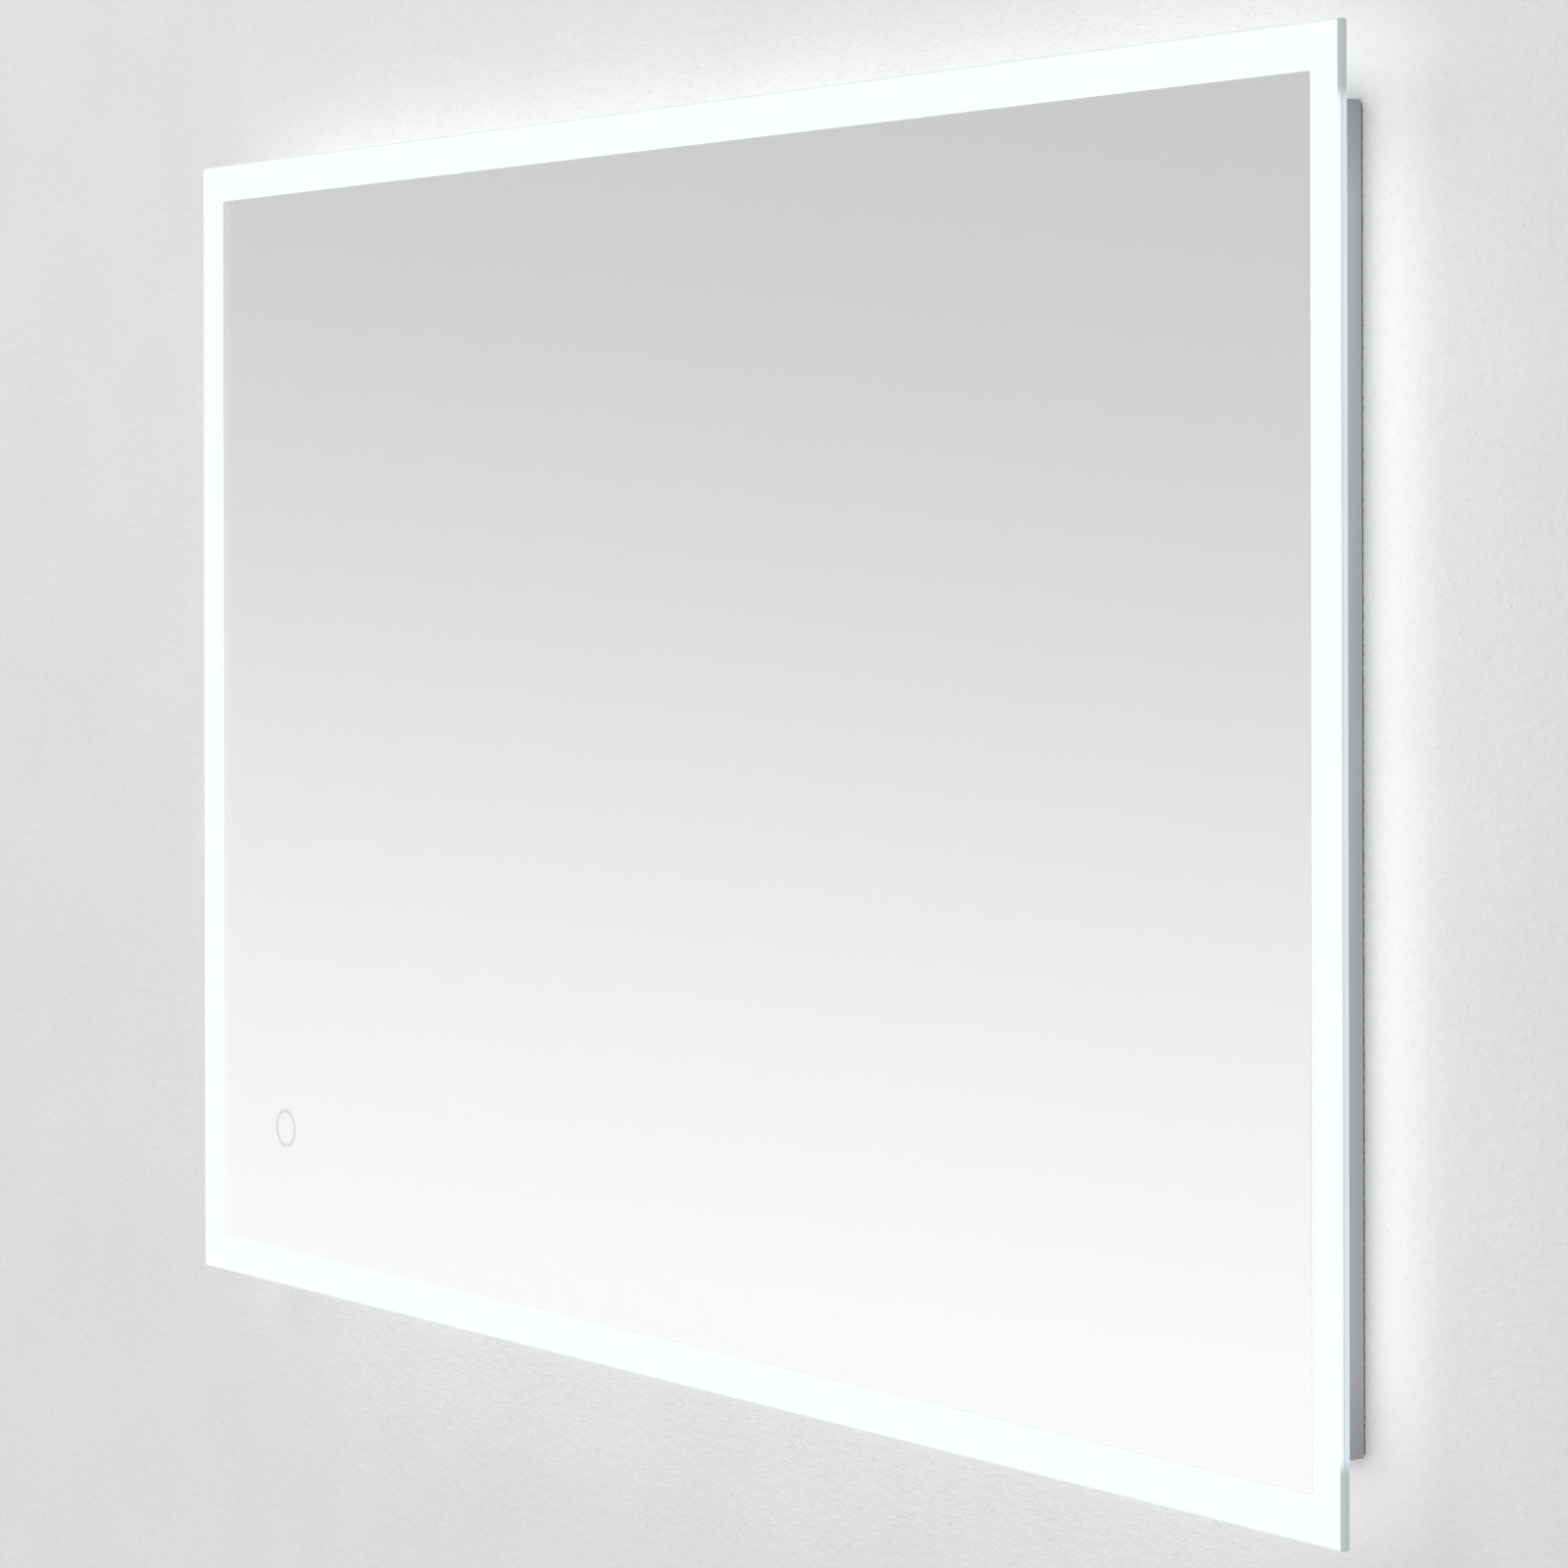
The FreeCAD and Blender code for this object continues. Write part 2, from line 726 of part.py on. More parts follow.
def wall_rail():
    """The hooked rail on the wall: a screwed foot, a step outwards and an upright lip."""
    base_low = rail_contact_h - wall_rail_lip_height - wall_rail_base_height
    step = rail_contact_h - wall_rail_lip_height
    small = bend_radius_small
    large = 2 * bend_radius_large
    outline = [
        (0, base_low, 0),
        (0, step, large),
        (wall_lip_rear, step, 0),
        (wall_lip_rear, rail_contact_h, small),
        (wall_lip_front, rail_contact_h, small),
        (wall_lip_front, step - rail_wall, large),
        (-rail_wall, step - rail_wall, 0),
        (-rail_wall, base_low, small),
    ]
    half = wall_rail_length / 2
    rail = prism([rounded_loop(outline, lambda y, h: point(-half, y, h))], Vector(wall_rail_length, 0, 0))
    for way in (1, -1):
        for x, reach in ((slot_spacing / 2, slot_length / 2 - slot_radius), (hole_spacing / 2, 0)):
            radius = slot_radius if reach else hole_radius
            middle = way * x
            end = Vector(middle - reach, -rail_wall, 0)
            tool = Part.makeCylinder(radius, rail_wall, end, Vector(0, 1, 0))
            if reach:
                other = Vector(middle + reach, -rail_wall, 0)
                tool = tool.fuse(Part.makeCylinder(radius, rail_wall, other, Vector(0, 1, 0)))
                corner = Vector(middle - reach, -rail_wall, -radius)
                tool = tool.fuse(Part.makeBox(2 * reach, rail_wall, 2 * radius, corner))
            rail = rail.cut(tool)
    return rail


def hanging_rail():
    """The angle under the top side, whose rear leg hooks behind the wall rail's lip."""
    top = hanging_leg_top_h
    foot = rail_contact_h - hook_overlap
    small = bend_radius_small
    outline = [
        (hanging_lip_rear, foot, small),
        (hanging_lip_rear, top, 0),
        (hanging_lip_rear - hanging_leg_width, top, 0),
        (hanging_lip_rear - hanging_leg_width, rail_contact_h, small),
        (hanging_lip_front, rail_contact_h, 0),
        (hanging_lip_front, foot, small),
    ]
    half = hanging_rail_length / 2
    rail = prism([rounded_loop(outline, lambda y, h: point(-half, y, h))], Vector(hanging_rail_length, 0, 0))
    bore = rivet_radius + screw_clearance / 2
    for x in rivet_places():
        start = point(x, rivet_y, rail_contact_h)
        rail = rail.cut(Part.makeCylinder(bore, rail_wall, start, Vector(0, 0, 1)))
    return rail


def rail_rivets():
    """Blind rivets: a low dome under the angle, and the closed end in the chamber."""
    grip = rail_wall + section_wall
    profile = [(-rivet_head_height, 0), (-rivet_head_height, rivet_crown_radius)]
    profile += [(0, rivet_head_radius), (0, rivet_radius), (grip, rivet_radius), (grip, rivet_bulb_radius)]
    profile += [(grip + rivet_bulb_length, rivet_bulb_radius), (grip + rivet_bulb_length, 0)]
    return [turned(profile, point(x, rivet_y, rail_contact_h), Vector(0, 0, 1)) for x in rivet_places()]


# ------------------------------------------------------------------ driver

driver_lid_y = driver_front_y + driver_base_depth
driver_top_y = driver_lid_y + lid_thickness
driver_left_x = driver_x - driver_length / 2
driver_right_x = driver_x + driver_length / 2
driver_axis_y = (driver_floor_y + driver_lid_y - lid_lip_depth) / 2
board_x = driver_x + board_shift
board_rear_y = driver_floor_y + board_standoff + board_thickness


def driver_screw_places():
    """The four corners where the lid is screwed to the base."""
    across = driver_length / 2 - driver_boss_inset
    up = driver_height / 2 - driver_boss_inset
    return [(driver_x + a * across, driver_h + b * up) for a in (1, -1) for b in (1, -1)]


def board_hook(x, way):
    """A snap hook that holds the board's edge down; way is 1 for the upper edge, -1 for the lower."""
    inner = board_width / 2 + board_edge_gap
    outer = inner + board_hook_wall
    nose = inner - board_hook_nose
    foot = driver_floor_y - driver_wall / 2
    top = board_rear_y + board_edge_gap
    tip = top + 2 * board_hook_nose
    outline = [(inner, foot, 0), (inner, top, 0), (nose, top, 0), (inner, tip, 0), (outer, tip, 0)]
    outline.append((outer, foot, 0))
    place = lambda b, y: point(x - board_hook_width / 2, y, driver_h + way * b)
    return prism([rounded_loop(outline, place)], Vector(board_hook_width, 0, 0))


def driver_base():
    """The case stuck to the film: a tray with screw bosses, board rails and hooks, and two cable holes."""
    half_length = driver_length / 2
    half_height = driver_height / 2
    wall = driver_wall
    radius = driver_corner_radius
    tray = slab(driver_x, driver_h, half_length, half_height, radius, driver_front_y, driver_lid_y)
    across = half_length - wall
    up = half_height - wall
    boss_across = half_length - driver_boss_size
    boss_up = half_height - driver_boss_size
    quarter = [(across, -boss_up, 0), (across, boss_up, 0), (boss_across, boss_up, driver_boss_round)]
    quarter.append((boss_across, up, 0))
    hollow = quarter + [(-a, b, r) for a, b, r in reversed(quarter[1:])]
    hollow += [(-across, -boss_up, 0), (-boss_across, -boss_up, driver_boss_round), (-boss_across, -up, 0)]
    hollow += [(boss_across, -up, 0), (boss_across, -boss_up, driver_boss_round)]
    place = lambda a, b: point(driver_x + a, driver_floor_y, driver_h + b)
    tray = tray.cut(prism([rounded_loop(hollow, place)], Vector(0, driver_lid_y - driver_floor_y, 0)))
    seat_y = driver_floor_y + board_standoff
    rail_half = board_length / 2 - board_rail_inset
    for way in (1, -1):
        rail_h = driver_h + way * (board_width / 2 - board_rail_inset)
        rail = slab(board_x, rail_h, rail_half, board_rail_width / 2, 0, driver_floor_y - wall / 2, seat_y)
        tray = tray.fuse(rail)
        for side in (1, -1):
            tray = tray.fuse(board_hook(board_x + side * board_hook_spacing / 2, way))
    for x, h in driver_screw_places():
        start = driver_lid_y - lid_screw_length
        tray = tray.cut(disc(x, h, screw_radius + screw_clearance / 2, start, driver_lid_y))
    right = Vector(1, 0, 0)
    start = point(driver_right_x - 2 * wall, driver_axis_y, driver_h)
    gland_hole = Part.makeCylinder(gland_thread_radius + screw_clearance, 3 * wall, start, right)
    start = point(driver_left_x - wall, lead_y, driver_h)
    lead_hole = Part.makeCylinder(supply_hole_radius, 3 * wall, start, right)
    return tray.cut(gland_hole).cut(lead_hole).removeSplitter()


def driver_lid():
    """The cover, with four lips inside the walls, countersunk holes and a raised panel."""
    half_length = driver_length / 2
    half_height = driver_height / 2
    radius = driver_corner_radius
    lid = slab(driver_x, driver_h, half_length, half_height, radius, driver_lid_y, driver_top_y)
    rim = [
        edge
        for edge in lid.Edges
        if abs(edge.BoundBox.YLength) < 1e-6 and abs(edge.BoundBox.YMin - driver_top_y) < 1e-6
    ]
    lid = lid.makeChamfer(bend_radius_large, rim)
    side_in = driver_wall + lid_lip_clearance
    clear = driver_boss_size + lid_lip_clearance
    front = driver_lid_y - lid_lip_depth
    for way in (1, -1):
        outer = driver_h + way * (half_height - side_in)
        inner = outer - way * lid_lip_wall
        low, high = sorted((outer, inner))
        lip = block(driver_left_x + clear, driver_right_x - clear, front, driver_lid_y, low, high)
        lid = lid.fuse(lip)
        outer = driver_x + way * (half_length - side_in)
        inner = outer - way * lid_lip_wall
        low, high = sorted((outer, inner))
        bottom_h = driver_h - half_height + clear
        lip = block(low, high, front, driver_lid_y, bottom_h, driver_h + half_height - clear)
        lid = lid.fuse(lip)
    for x, h in driver_screw_places():
        lid = lid.cut(countersunk_hole(point(x, driver_top_y, h), Vector(0, -1, 0), lid_thickness * 1.5))
    for k in range(groove_count):
        x = driver_x + (k - (groove_count - 1) / 2) * groove_pitch
        bottom_y = driver_top_y - groove_depth
        lid = lid.cut(slab(x, driver_h, groove_width / 2, groove_length / 2, 0, bottom_y, driver_top_y))
    return lid.removeSplitter()


def lid_screws():
    """The countersunk screws of the driver lid."""
    return [
        countersunk_screw(point(x, driver_top_y, h), Vector(0, -1, 0), lid_screw_length)
        for x, h in driver_screw_places()
    ]


def driver_board():
    """The driver's circuit board, on its two rails and under its four hooks."""
    front = board_rear_y - board_thickness
    return slab(board_x, driver_h, board_length / 2, board_width / 2, 0, front, board_rear_y)


def driver_transformer():
    """The ferrite core with two windows, and the coil wound round its middle limb."""
    x = board_x + core_shift
    middle_y = board_rear_y + coil_depth / 2
    front = middle_y - core_depth / 2
    rear = middle_y + core_depth / 2
    window_half_height = core_height / 2 - core_limb
    window_width = (core_width - 4 * core_limb) / 2 + core_limb / 2
    core = slab(x, driver_h, core_width / 2, core_height / 2, bend_radius_small, front, rear)
    for way in (1, -1):
        middle = x + way * (core_limb / 2 + window_width / 2)
        core = core.cut(slab(middle, driver_h, window_width / 2, window_half_height, 0, front, rear))
    gap = coil_clearance
    half = core_limb / 2
    coil_half = half + window_width - gap
    coil_height = window_half_height - gap
    coil = block(
        x - coil_half,
        x + coil_half,
        board_rear_y,
        board_rear_y + coil_depth,
        driver_h - coil_height,
        driver_h + coil_height,
    )
    upright = [edge for edge in coil.Edges if edge.BoundBox.ZLength > coil_height]
    coil = coil.makeFillet(coil_half / 2, upright)
    bore = block(x - half - gap, x + half + gap, front - gap, rear + gap, driver_h - core_height,
                 driver_h + core_height)
    return core, coil.cut(bore)


def driver_capacitors():
    """The electrolytic cans, with a rolled edge round the top."""
    cans = []
    for dx, dh, radius, height in capacitors:
        rim = radius - capacitor_roll
        profile = [(0, 0), (0, radius), (height - capacitor_roll, radius), (height, rim), (height, 0)]
        cans.append(turned(profile, point(board_x + dx, board_rear_y, driver_h + dh), Vector(0, 1, 0)))
    return cans


terminal_x = board_x + board_length / 2 - terminal_inset - terminal_width / 2


def terminal_block():
    """The two-pole mains terminal, with wire mouths towards the gland and screw wells on top."""
    top = board_rear_y + terminal_height
    low = board_rear_y + terminal_mouth_low
    high = board_rear_y + terminal_mouth_high
    body = slab(terminal_x, driver_h, terminal_width / 2, terminal_length / 2, 0, board_rear_y, top)
    quarter = terminal_width / 4
    for way in (1, -1):
        h = driver_h + way * terminal_length / 4
        mouth = slab(terminal_x + quarter, h, quarter, terminal_mouth_half, 0, low, high)
        well = disc(terminal_x, h, terminal_screw_radius + screw_clearance, high, top)
        body = body.cut(mouth).cut(well)
    return body


def terminal_screws():
    """The slotted clamping screws in the terminal's wells."""
    screws = []
    start = board_rear_y + terminal_mouth_high
    end = start + terminal_screw_length
    radius = terminal_screw_radius
    half = terminal_slot_width / 2
    for way in (1, -1):
        h = driver_h + way * terminal_length / 4
        screw = disc(terminal_x, h, radius, start, end)
        slot = block(terminal_x - radius, terminal_x + radius, end - 2 * half, end, h - half, h + half)
        screws.append(screw.cut(slot))
    return screws


def foam_pads():
    """Two pads of foam tape between the driver case and the film."""
    shift = driver_length / 2 - foam_length / 2 - driver_corner_radius
    half_length = foam_length / 2
    half_width = foam_width / 2
    return [
        slab(driver_x + x, driver_h, half_length, half_width, 0, film_rear_y, driver_front_y)
        for x in (shift, -shift)
    ]


# ------------------------------------------------------------------ cord gland

gland_out = Vector(1, 0, 0)
gland_origin = point(driver_right_x, driver_axis_y, driver_h)


def cord_gland():
    """The gland's body: a hexagon outside the wall, and a hollow threaded neck each way."""
    neck_start = -driver_wall - gland_inner_length
    neck_end = gland_flange_thickness + gland_outer_length
    neck = Part.makeCylinder(
        gland_thread_radius, neck_end - neck_start, gland_origin + gland_out * neck_start, gland_out
    )
    body = neck.fuse(hexagon(gland_flat, gland_flange_thickness, gland_origin, gland_out))
    seat_start = neck_end - gland_seal_length
    bore = turned(
        [
            (neck_start, 0),
            (neck_start, gland_cord_radius + gland_cap_bore_extra),
            (seat_start, gland_cord_radius + gland_cap_bore_extra),
            (seat_start, gland_seal_radius + screw_clearance),
            (neck_end, gland_seal_radius + screw_clearance),
            (neck_end, 0),
        ],
        gland_origin,
        gland_out,
    )
    return body.cut(bore)


def gland_nut():
    """The lock nut inside the case."""
    origin = gland_origin - gland_out * (driver_wall + gland_nut_thickness)
    nut = hexagon(gland_nut_flat, gland_nut_thickness, origin, gland_out)
    bore = gland_thread_radius + screw_clearance / 2
    return nut.cut(Part.makeCylinder(bore, gland_nut_thickness, origin, gland_out))


def gland_seal():
    """The rubber seal that grips the cord."""
    start = gland_flange_thickness + gland_outer_length - gland_seal_length
    end = start + gland_seal_length
    profile = [(start, gland_cord_radius), (start, gland_seal_radius)]
    profile += [(end, gland_seal_radius), (end, gland_cord_radius)]
    return turned(profile, gland_origin, gland_out)


def gland_cap():
    """The dome nut that closes the gland over its seal."""
    gap = screw_clearance / 2
    start = gland_flange_thickness + gland_cap_start
    seat = gland_flange_thickness + gland_outer_length + gap
    end = start + gland_cap_length
    outer = gland_flat / 2
    bore = gland_cord_radius + gland_cap_bore_extra
    dome = end - seat
    profile = [(start, gland_thread_radius + gap), (start, outer), (seat, outer)]
    for angle in (math.pi / 6, math.pi / 3):
        profile.append((seat + dome * math.sin(angle), bore + (outer - bore) * math.cos(angle)))
    profile += [(end, bore), (seat, bore), (seat, gland_thread_radius + gap)]
    shell = turned(profile, gland_origin, gland_out)
    flats = hexagon(gland_flat, gland_cap_length, gland_origin + gland_out * start, gland_out)
    return shell.common(flats)


# ------------------------------------------------------------------ touch sensor

sensor_front_y = film_rear_y + sensor_pad_thickness
sensor_rear_y = sensor_front_y + sensor_depth
sensor_board_y = film_front_y + sensor_board_depth


def sensor_pad():
    """The adhesive ring between the sensor case and the film."""
    pad = disc(ring_x, ring_h, sensor_radius, film_rear_y, sensor_front_y)
    hole = disc(ring_x, ring_h, ring_outer_radius + film_step_in, film_rear_y, sensor_front_y)
    return pad.cut(hole)


def sensor_case():
    """The round case: closed behind, with a ledge for its board and a hole each side."""
    wall = sensor_wall
    ledge_y = sensor_board_y + sensor_board_thickness
    inner = sensor_radius - wall
    profile = [
        (sensor_front_y, inner),
        (sensor_front_y, sensor_radius),
        (sensor_rear_y - 1.5, sensor_radius),
        (sensor_rear_y, sensor_radius - 1.5),
        (sensor_rear_y, 0),
        (sensor_rear_y - wall, 0),
        (sensor_rear_y - wall, inner - sensor_ledge),
        (ledge_y, inner - sensor_ledge),
        (ledge_y, inner),
    ]
    case = turned(profile, point(ring_x, 0, ring_h), Vector(0, 1, 0))
    reach = 2 * sensor_radius
    left = Part.makeCylinder(
        strip_lead_radius + lead_bore_clearance, reach, point(ring_x, lead_y, ring_h), Vector(-1, 0, 0)
    )
    right = Part.makeCylinder(
        supply_lead_radius + lead_bore_clearance, reach, point(ring_x, lead_y, ring_h), Vector(1, 0, 0)
    )
    return case.cut(left).cut(right)


def sensor_board():
    """The sensor's circuit board, on the ledge of its case."""
    radius = sensor_radius - sensor_wall - lead_bore_clearance
    return disc(ring_x, ring_h, radius, sensor_board_y, sensor_board_y + sensor_board_thickness)


def ring_guide():
    """The opal ring behind the window, on a skirt that stands on the board round its lights."""
    outer = ring_outer_radius + ring_skirt
    inner = ring_inner_radius - ring_skirt / 2
    roof = sensor_board_y - ring_chip_height - lead_bore_clearance
    wall = ring_outer_radius - lead_bore_clearance
    profile = [(film_front_y, inner), (film_front_y, outer), (sensor_board_y, outer), (sensor_board_y, wall)]
    profile += [(roof, wall), (roof, inner)]
    return turned(profile, point(ring_x, 0, ring_h), Vector(0, 1, 0))


def ring_lights():
    """Four light chips on the sensor board, under the ring."""
    middle = (ring_inner_radius + ring_outer_radius) / 2
    half = ring_width / 3
    chips = []
    for k in range(4):
        angle = math.radians(45 + 90 * k)
        chip = slab(middle, 0, half, half, 0, sensor_board_y - ring_chip_height, sensor_board_y)
        chip.rotate(point(0, 0, 0), Vector(0, 1, 0), -math.degrees(angle))
        chip.translate(Vector(ring_x, 0, ring_h))
        chips.append(chip)
    return chips


def touch_electrode():
    """The sprung copper cap that carries the touch from the glass to the board."""
    wall = electrode_wall
    outer = electrode_radius
    flange = electrode_radius + electrode_flange
    profile = [(film_front_y, 0), (film_front_y, outer), (sensor_board_y - wall, outer)]
    profile += [(sensor_board_y - wall, flange), (sensor_board_y, flange), (sensor_board_y, outer - wall)]
    profile += [(film_front_y + wall, outer - wall), (film_front_y + wall, 0)]
    return turned(profile, point(ring_x, 0, ring_h), Vector(0, 1, 0))


# ------------------------------------------------------------------ leads

clip_bore = supply_lead_radius + lead_bore_clearance

# The supply lead, in one plane: out of the driver, down to the left, and into the sensor.
supply_route = [
    point(driver_left_x + 8.0, lead_y, driver_h),
    point(driver_left_x - 86.0, lead_y, driver_h),
    point(ring_x + 96.0, lead_y, ring_h),
    point(ring_x + 11.0, lead_y, ring_h),
]

# Where the clips sit: the straight run of the lead, and the share of it passed.
clip_places = [(0, 0.9), (1, 0.15), (1, 0.85)]


def supply_lead():
    """The lead from the driver to the touch sensor, along the back of the pane."""
    return tube(supply_route, supply_lead_radius, "supply_lead")


def strip_lead():
    """The short lead from the sensor through the frame to the start of the light tape."""
    start = point(ring_x - sensor_radius + 5.0, lead_y, ring_h)
    run = start.x - (web_inner_x - section_wall - 3.0)
    return Part.makeCylinder(strip_lead_radius, run, start, Vector(-1, 0, 0))


def grommet(origin, axis, lead_radius, hole_radius_here, wall):
    """A rubber grommet in a wall that starts at origin and is as thick as wall along axis."""
    bore = lead_radius + lead_bore_clearance
    neck = hole_radius_here - lead_bore_clearance / 2
    lip = hole_radius_here + grommet_lip
    out = grommet_lip_thickness
    profile = [(-out, bore), (-out, lip - out / 2), (0, lip), (0, neck), (wall, neck), (wall, lip)]
    profile += [(wall + out, lip - out / 2), (wall + out, bore)]
    return turned(profile, origin, axis)


def lead_clips():
    """Adhesive clips on the film: a flat foot, and a ring with a mouth to press the lead into."""
    runs, _ = tube_path(supply_route)
    outer = clip_bore + clip_wall
    half = clip_base / 2
    foot_y = film_rear_y + clip_base_thickness
    mouth = clip_mouth / 2
    clips = []
    for index, share in clip_places:
        start, end = runs[index]
        direction = (end - start).normalize()
        across = Vector(0, 1, 0).cross(direction)
        base = start + (end - start) * share - direction * (clip_length / 2)
        run = direction * clip_length

        def bar(half_width, low, high):
            corners = [(-half_width, low, 0), (half_width, low, 0), (half_width, high, 0)]
            corners.append((-half_width, high, 0))
            place = lambda a, y: Vector(base.x, y, base.z) + across * a
            return prism([rounded_loop(corners, place)], run)

        ring = Part.makeCylinder(outer, clip_length, base, direction)
        clip = bar(half, film_rear_y, foot_y).fuse(bar(outer * 0.8, film_rear_y, lead_y)).fuse(ring)
        clip = clip.cut(Part.makeCylinder(clip_bore, clip_length, base, direction))
        clip = clip.cut(bar(mouth, lead_y, lead_y + 2 * outer))
        clips.append(clip.removeSplitter())
    return clips


# ------------------------------------------------------------------ write every node

os.makedirs("parts", exist_ok=True)
written = []

save("mirror_pane", mirror_pane())
save("silver_layer", silver_layer())
save("safety_film", safety_film())
save("bonding_tape", bonding_tape())

for name in sides:
    save(f"frame_{name}", frame_side(name))
    save(f"diffuser_{name}", diffuser(name))
    save(f"light_tape_{name}", light_tape(name))
save("light_chips", light_chips())
save("tape_links", tape_links())
save("corner_keys", corner_keys())
save("key_screws", key_screws())
save("wall_bumpers", wall_bumpers())

save("wall_rail", wall_rail())
save("hanging_rail", hanging_rail())
save("rail_rivets", rail_rivets())

save("driver_base", driver_base())
save("driver_lid", driver_lid())
save("lid_screws", lid_screws())
save("driver_board", driver_board())
transformer_core, transformer_coil = driver_transformer()
save("transformer_core", transformer_core)
save("transformer_coil", transformer_coil)
save("driver_capacitors", driver_capacitors())
save("terminal_block", terminal_block())
save("terminal_screws", terminal_screws())
save("foam_pads", foam_pads())

save("cord_gland", cord_gland())
save("gland_nut", gland_nut())
save("gland_seal", gland_seal())
save("gland_cap", gland_cap())

save("sensor_pad", sensor_pad())
save("sensor_case", sensor_case())
save("sensor_board", sensor_board())
save("ring_guide", ring_guide())
save("ring_lights", ring_lights())
save("touch_electrode", touch_electrode())

save("supply_lead", supply_lead())
save("strip_lead", strip_lead())
save(
    "channel_grommet",
    grommet(point(web_inner_x, lead_y, ring_h), Vector(-1, 0, 0), strip_lead_radius, strip_hole_radius,
            section_wall),
)
save(
    "driver_grommet",
    grommet(point(driver_left_x + driver_wall, lead_y, driver_h), Vector(-1, 0, 0), supply_lead_radius,
            supply_hole_radius, driver_wall),
)
save("lead_clips", lead_clips())

print(f"{len(written)} nodes; the wall rail's screw line is {rail_screw_h:.1f} above the pane's middle")
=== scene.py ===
import math

import bmesh
import bpy
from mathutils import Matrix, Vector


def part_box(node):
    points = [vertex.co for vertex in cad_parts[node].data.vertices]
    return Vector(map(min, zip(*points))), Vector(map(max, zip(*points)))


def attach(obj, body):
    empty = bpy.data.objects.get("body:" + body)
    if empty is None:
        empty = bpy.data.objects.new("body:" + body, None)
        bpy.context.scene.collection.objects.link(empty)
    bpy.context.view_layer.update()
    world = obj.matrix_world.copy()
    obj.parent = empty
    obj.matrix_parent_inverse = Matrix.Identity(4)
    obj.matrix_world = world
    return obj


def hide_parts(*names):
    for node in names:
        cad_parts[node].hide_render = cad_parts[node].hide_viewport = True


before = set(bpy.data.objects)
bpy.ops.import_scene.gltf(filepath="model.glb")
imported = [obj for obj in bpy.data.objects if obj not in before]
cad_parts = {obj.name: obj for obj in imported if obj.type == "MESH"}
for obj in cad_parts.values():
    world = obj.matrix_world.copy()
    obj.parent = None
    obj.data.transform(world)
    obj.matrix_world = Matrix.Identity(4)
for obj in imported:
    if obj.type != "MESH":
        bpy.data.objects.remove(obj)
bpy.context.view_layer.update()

# ------------------------------------------------------------------------ mirror pane
# One sheet of 5 mm clear float glass, ground along its edges with a small arris. Where the frame
# stands the edge glows in bright streaks, white along the arrises: painted light in place of the
# light of the channels behind, and its inside face glows with painted light too. Past the frame's
# ends the ground edge is a dull grey green, with fainter painted streaks across it.

pane_low, pane_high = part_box("mirror_pane")
frame_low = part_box("frame_left")[0]
frame_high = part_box("frame_right")[1]
pane_half_width = (pane_high.x - pane_low.x) / 2
pane_half_height = (pane_high.z - pane_low.z) / 2
pane_thickness = pane_high.y - pane_low.y
middle_z = (pane_high.z + pane_low.z) / 2
arris = 0.0008
glass_ior = 1.52
glass_tint = (0.999, 1.0, 0.9995)
reach_past_top = 0.0015
reach_past_bottom = -0.0020
edge_fade = 0.006
top_share = 0.6
painted_lit_streaks = [
    (0.00, (0.92, 0.96, 0.97)),
    (0.15, (0.92, 0.96, 0.98)),
    (0.19, (0.86, 0.91, 0.95)),
    (0.25, (0.65, 0.72, 0.77)),
    (0.30, (0.57, 0.64, 0.69)),
    (0.36, (0.60, 0.67, 0.73)),
    (0.44, (0.67, 0.75, 0.82)),
    (0.53, (0.75, 0.83, 0.91)),
    (0.61, (0.64, 0.72, 0.77)),
    (0.68, (0.65, 0.73, 0.78)),
    (0.76, (0.79, 0.85, 0.90)),
    (0.83, (0.90, 0.97, 0.99)),
    (0.94, (0.86, 0.93, 0.95)),
]
dull_painted_streaks = [
    (0.00, (0.66, 0.72, 0.74)),
    (0.09, (0.59, 0.66, 0.68)),
    (0.19, (0.63, 0.70, 0.72)),
    (0.34, (0.56, 0.64, 0.66)),
    (0.74, (0.55, 0.62, 0.64)),
    (0.90, (0.60, 0.66, 0.68)),
]
drift_scale = 60.0
drift_stretch = (1, 1, 0.4)
drift_depth = 0.06
painted_edge_glow = 0.22
edge_roughness = 0.32
unlit = (0.0, 0.0, 0.0)
inner_body = (0.02, 0.02, 0.02)
painted_inner_glow = (0.90, 0.98, 0.95)


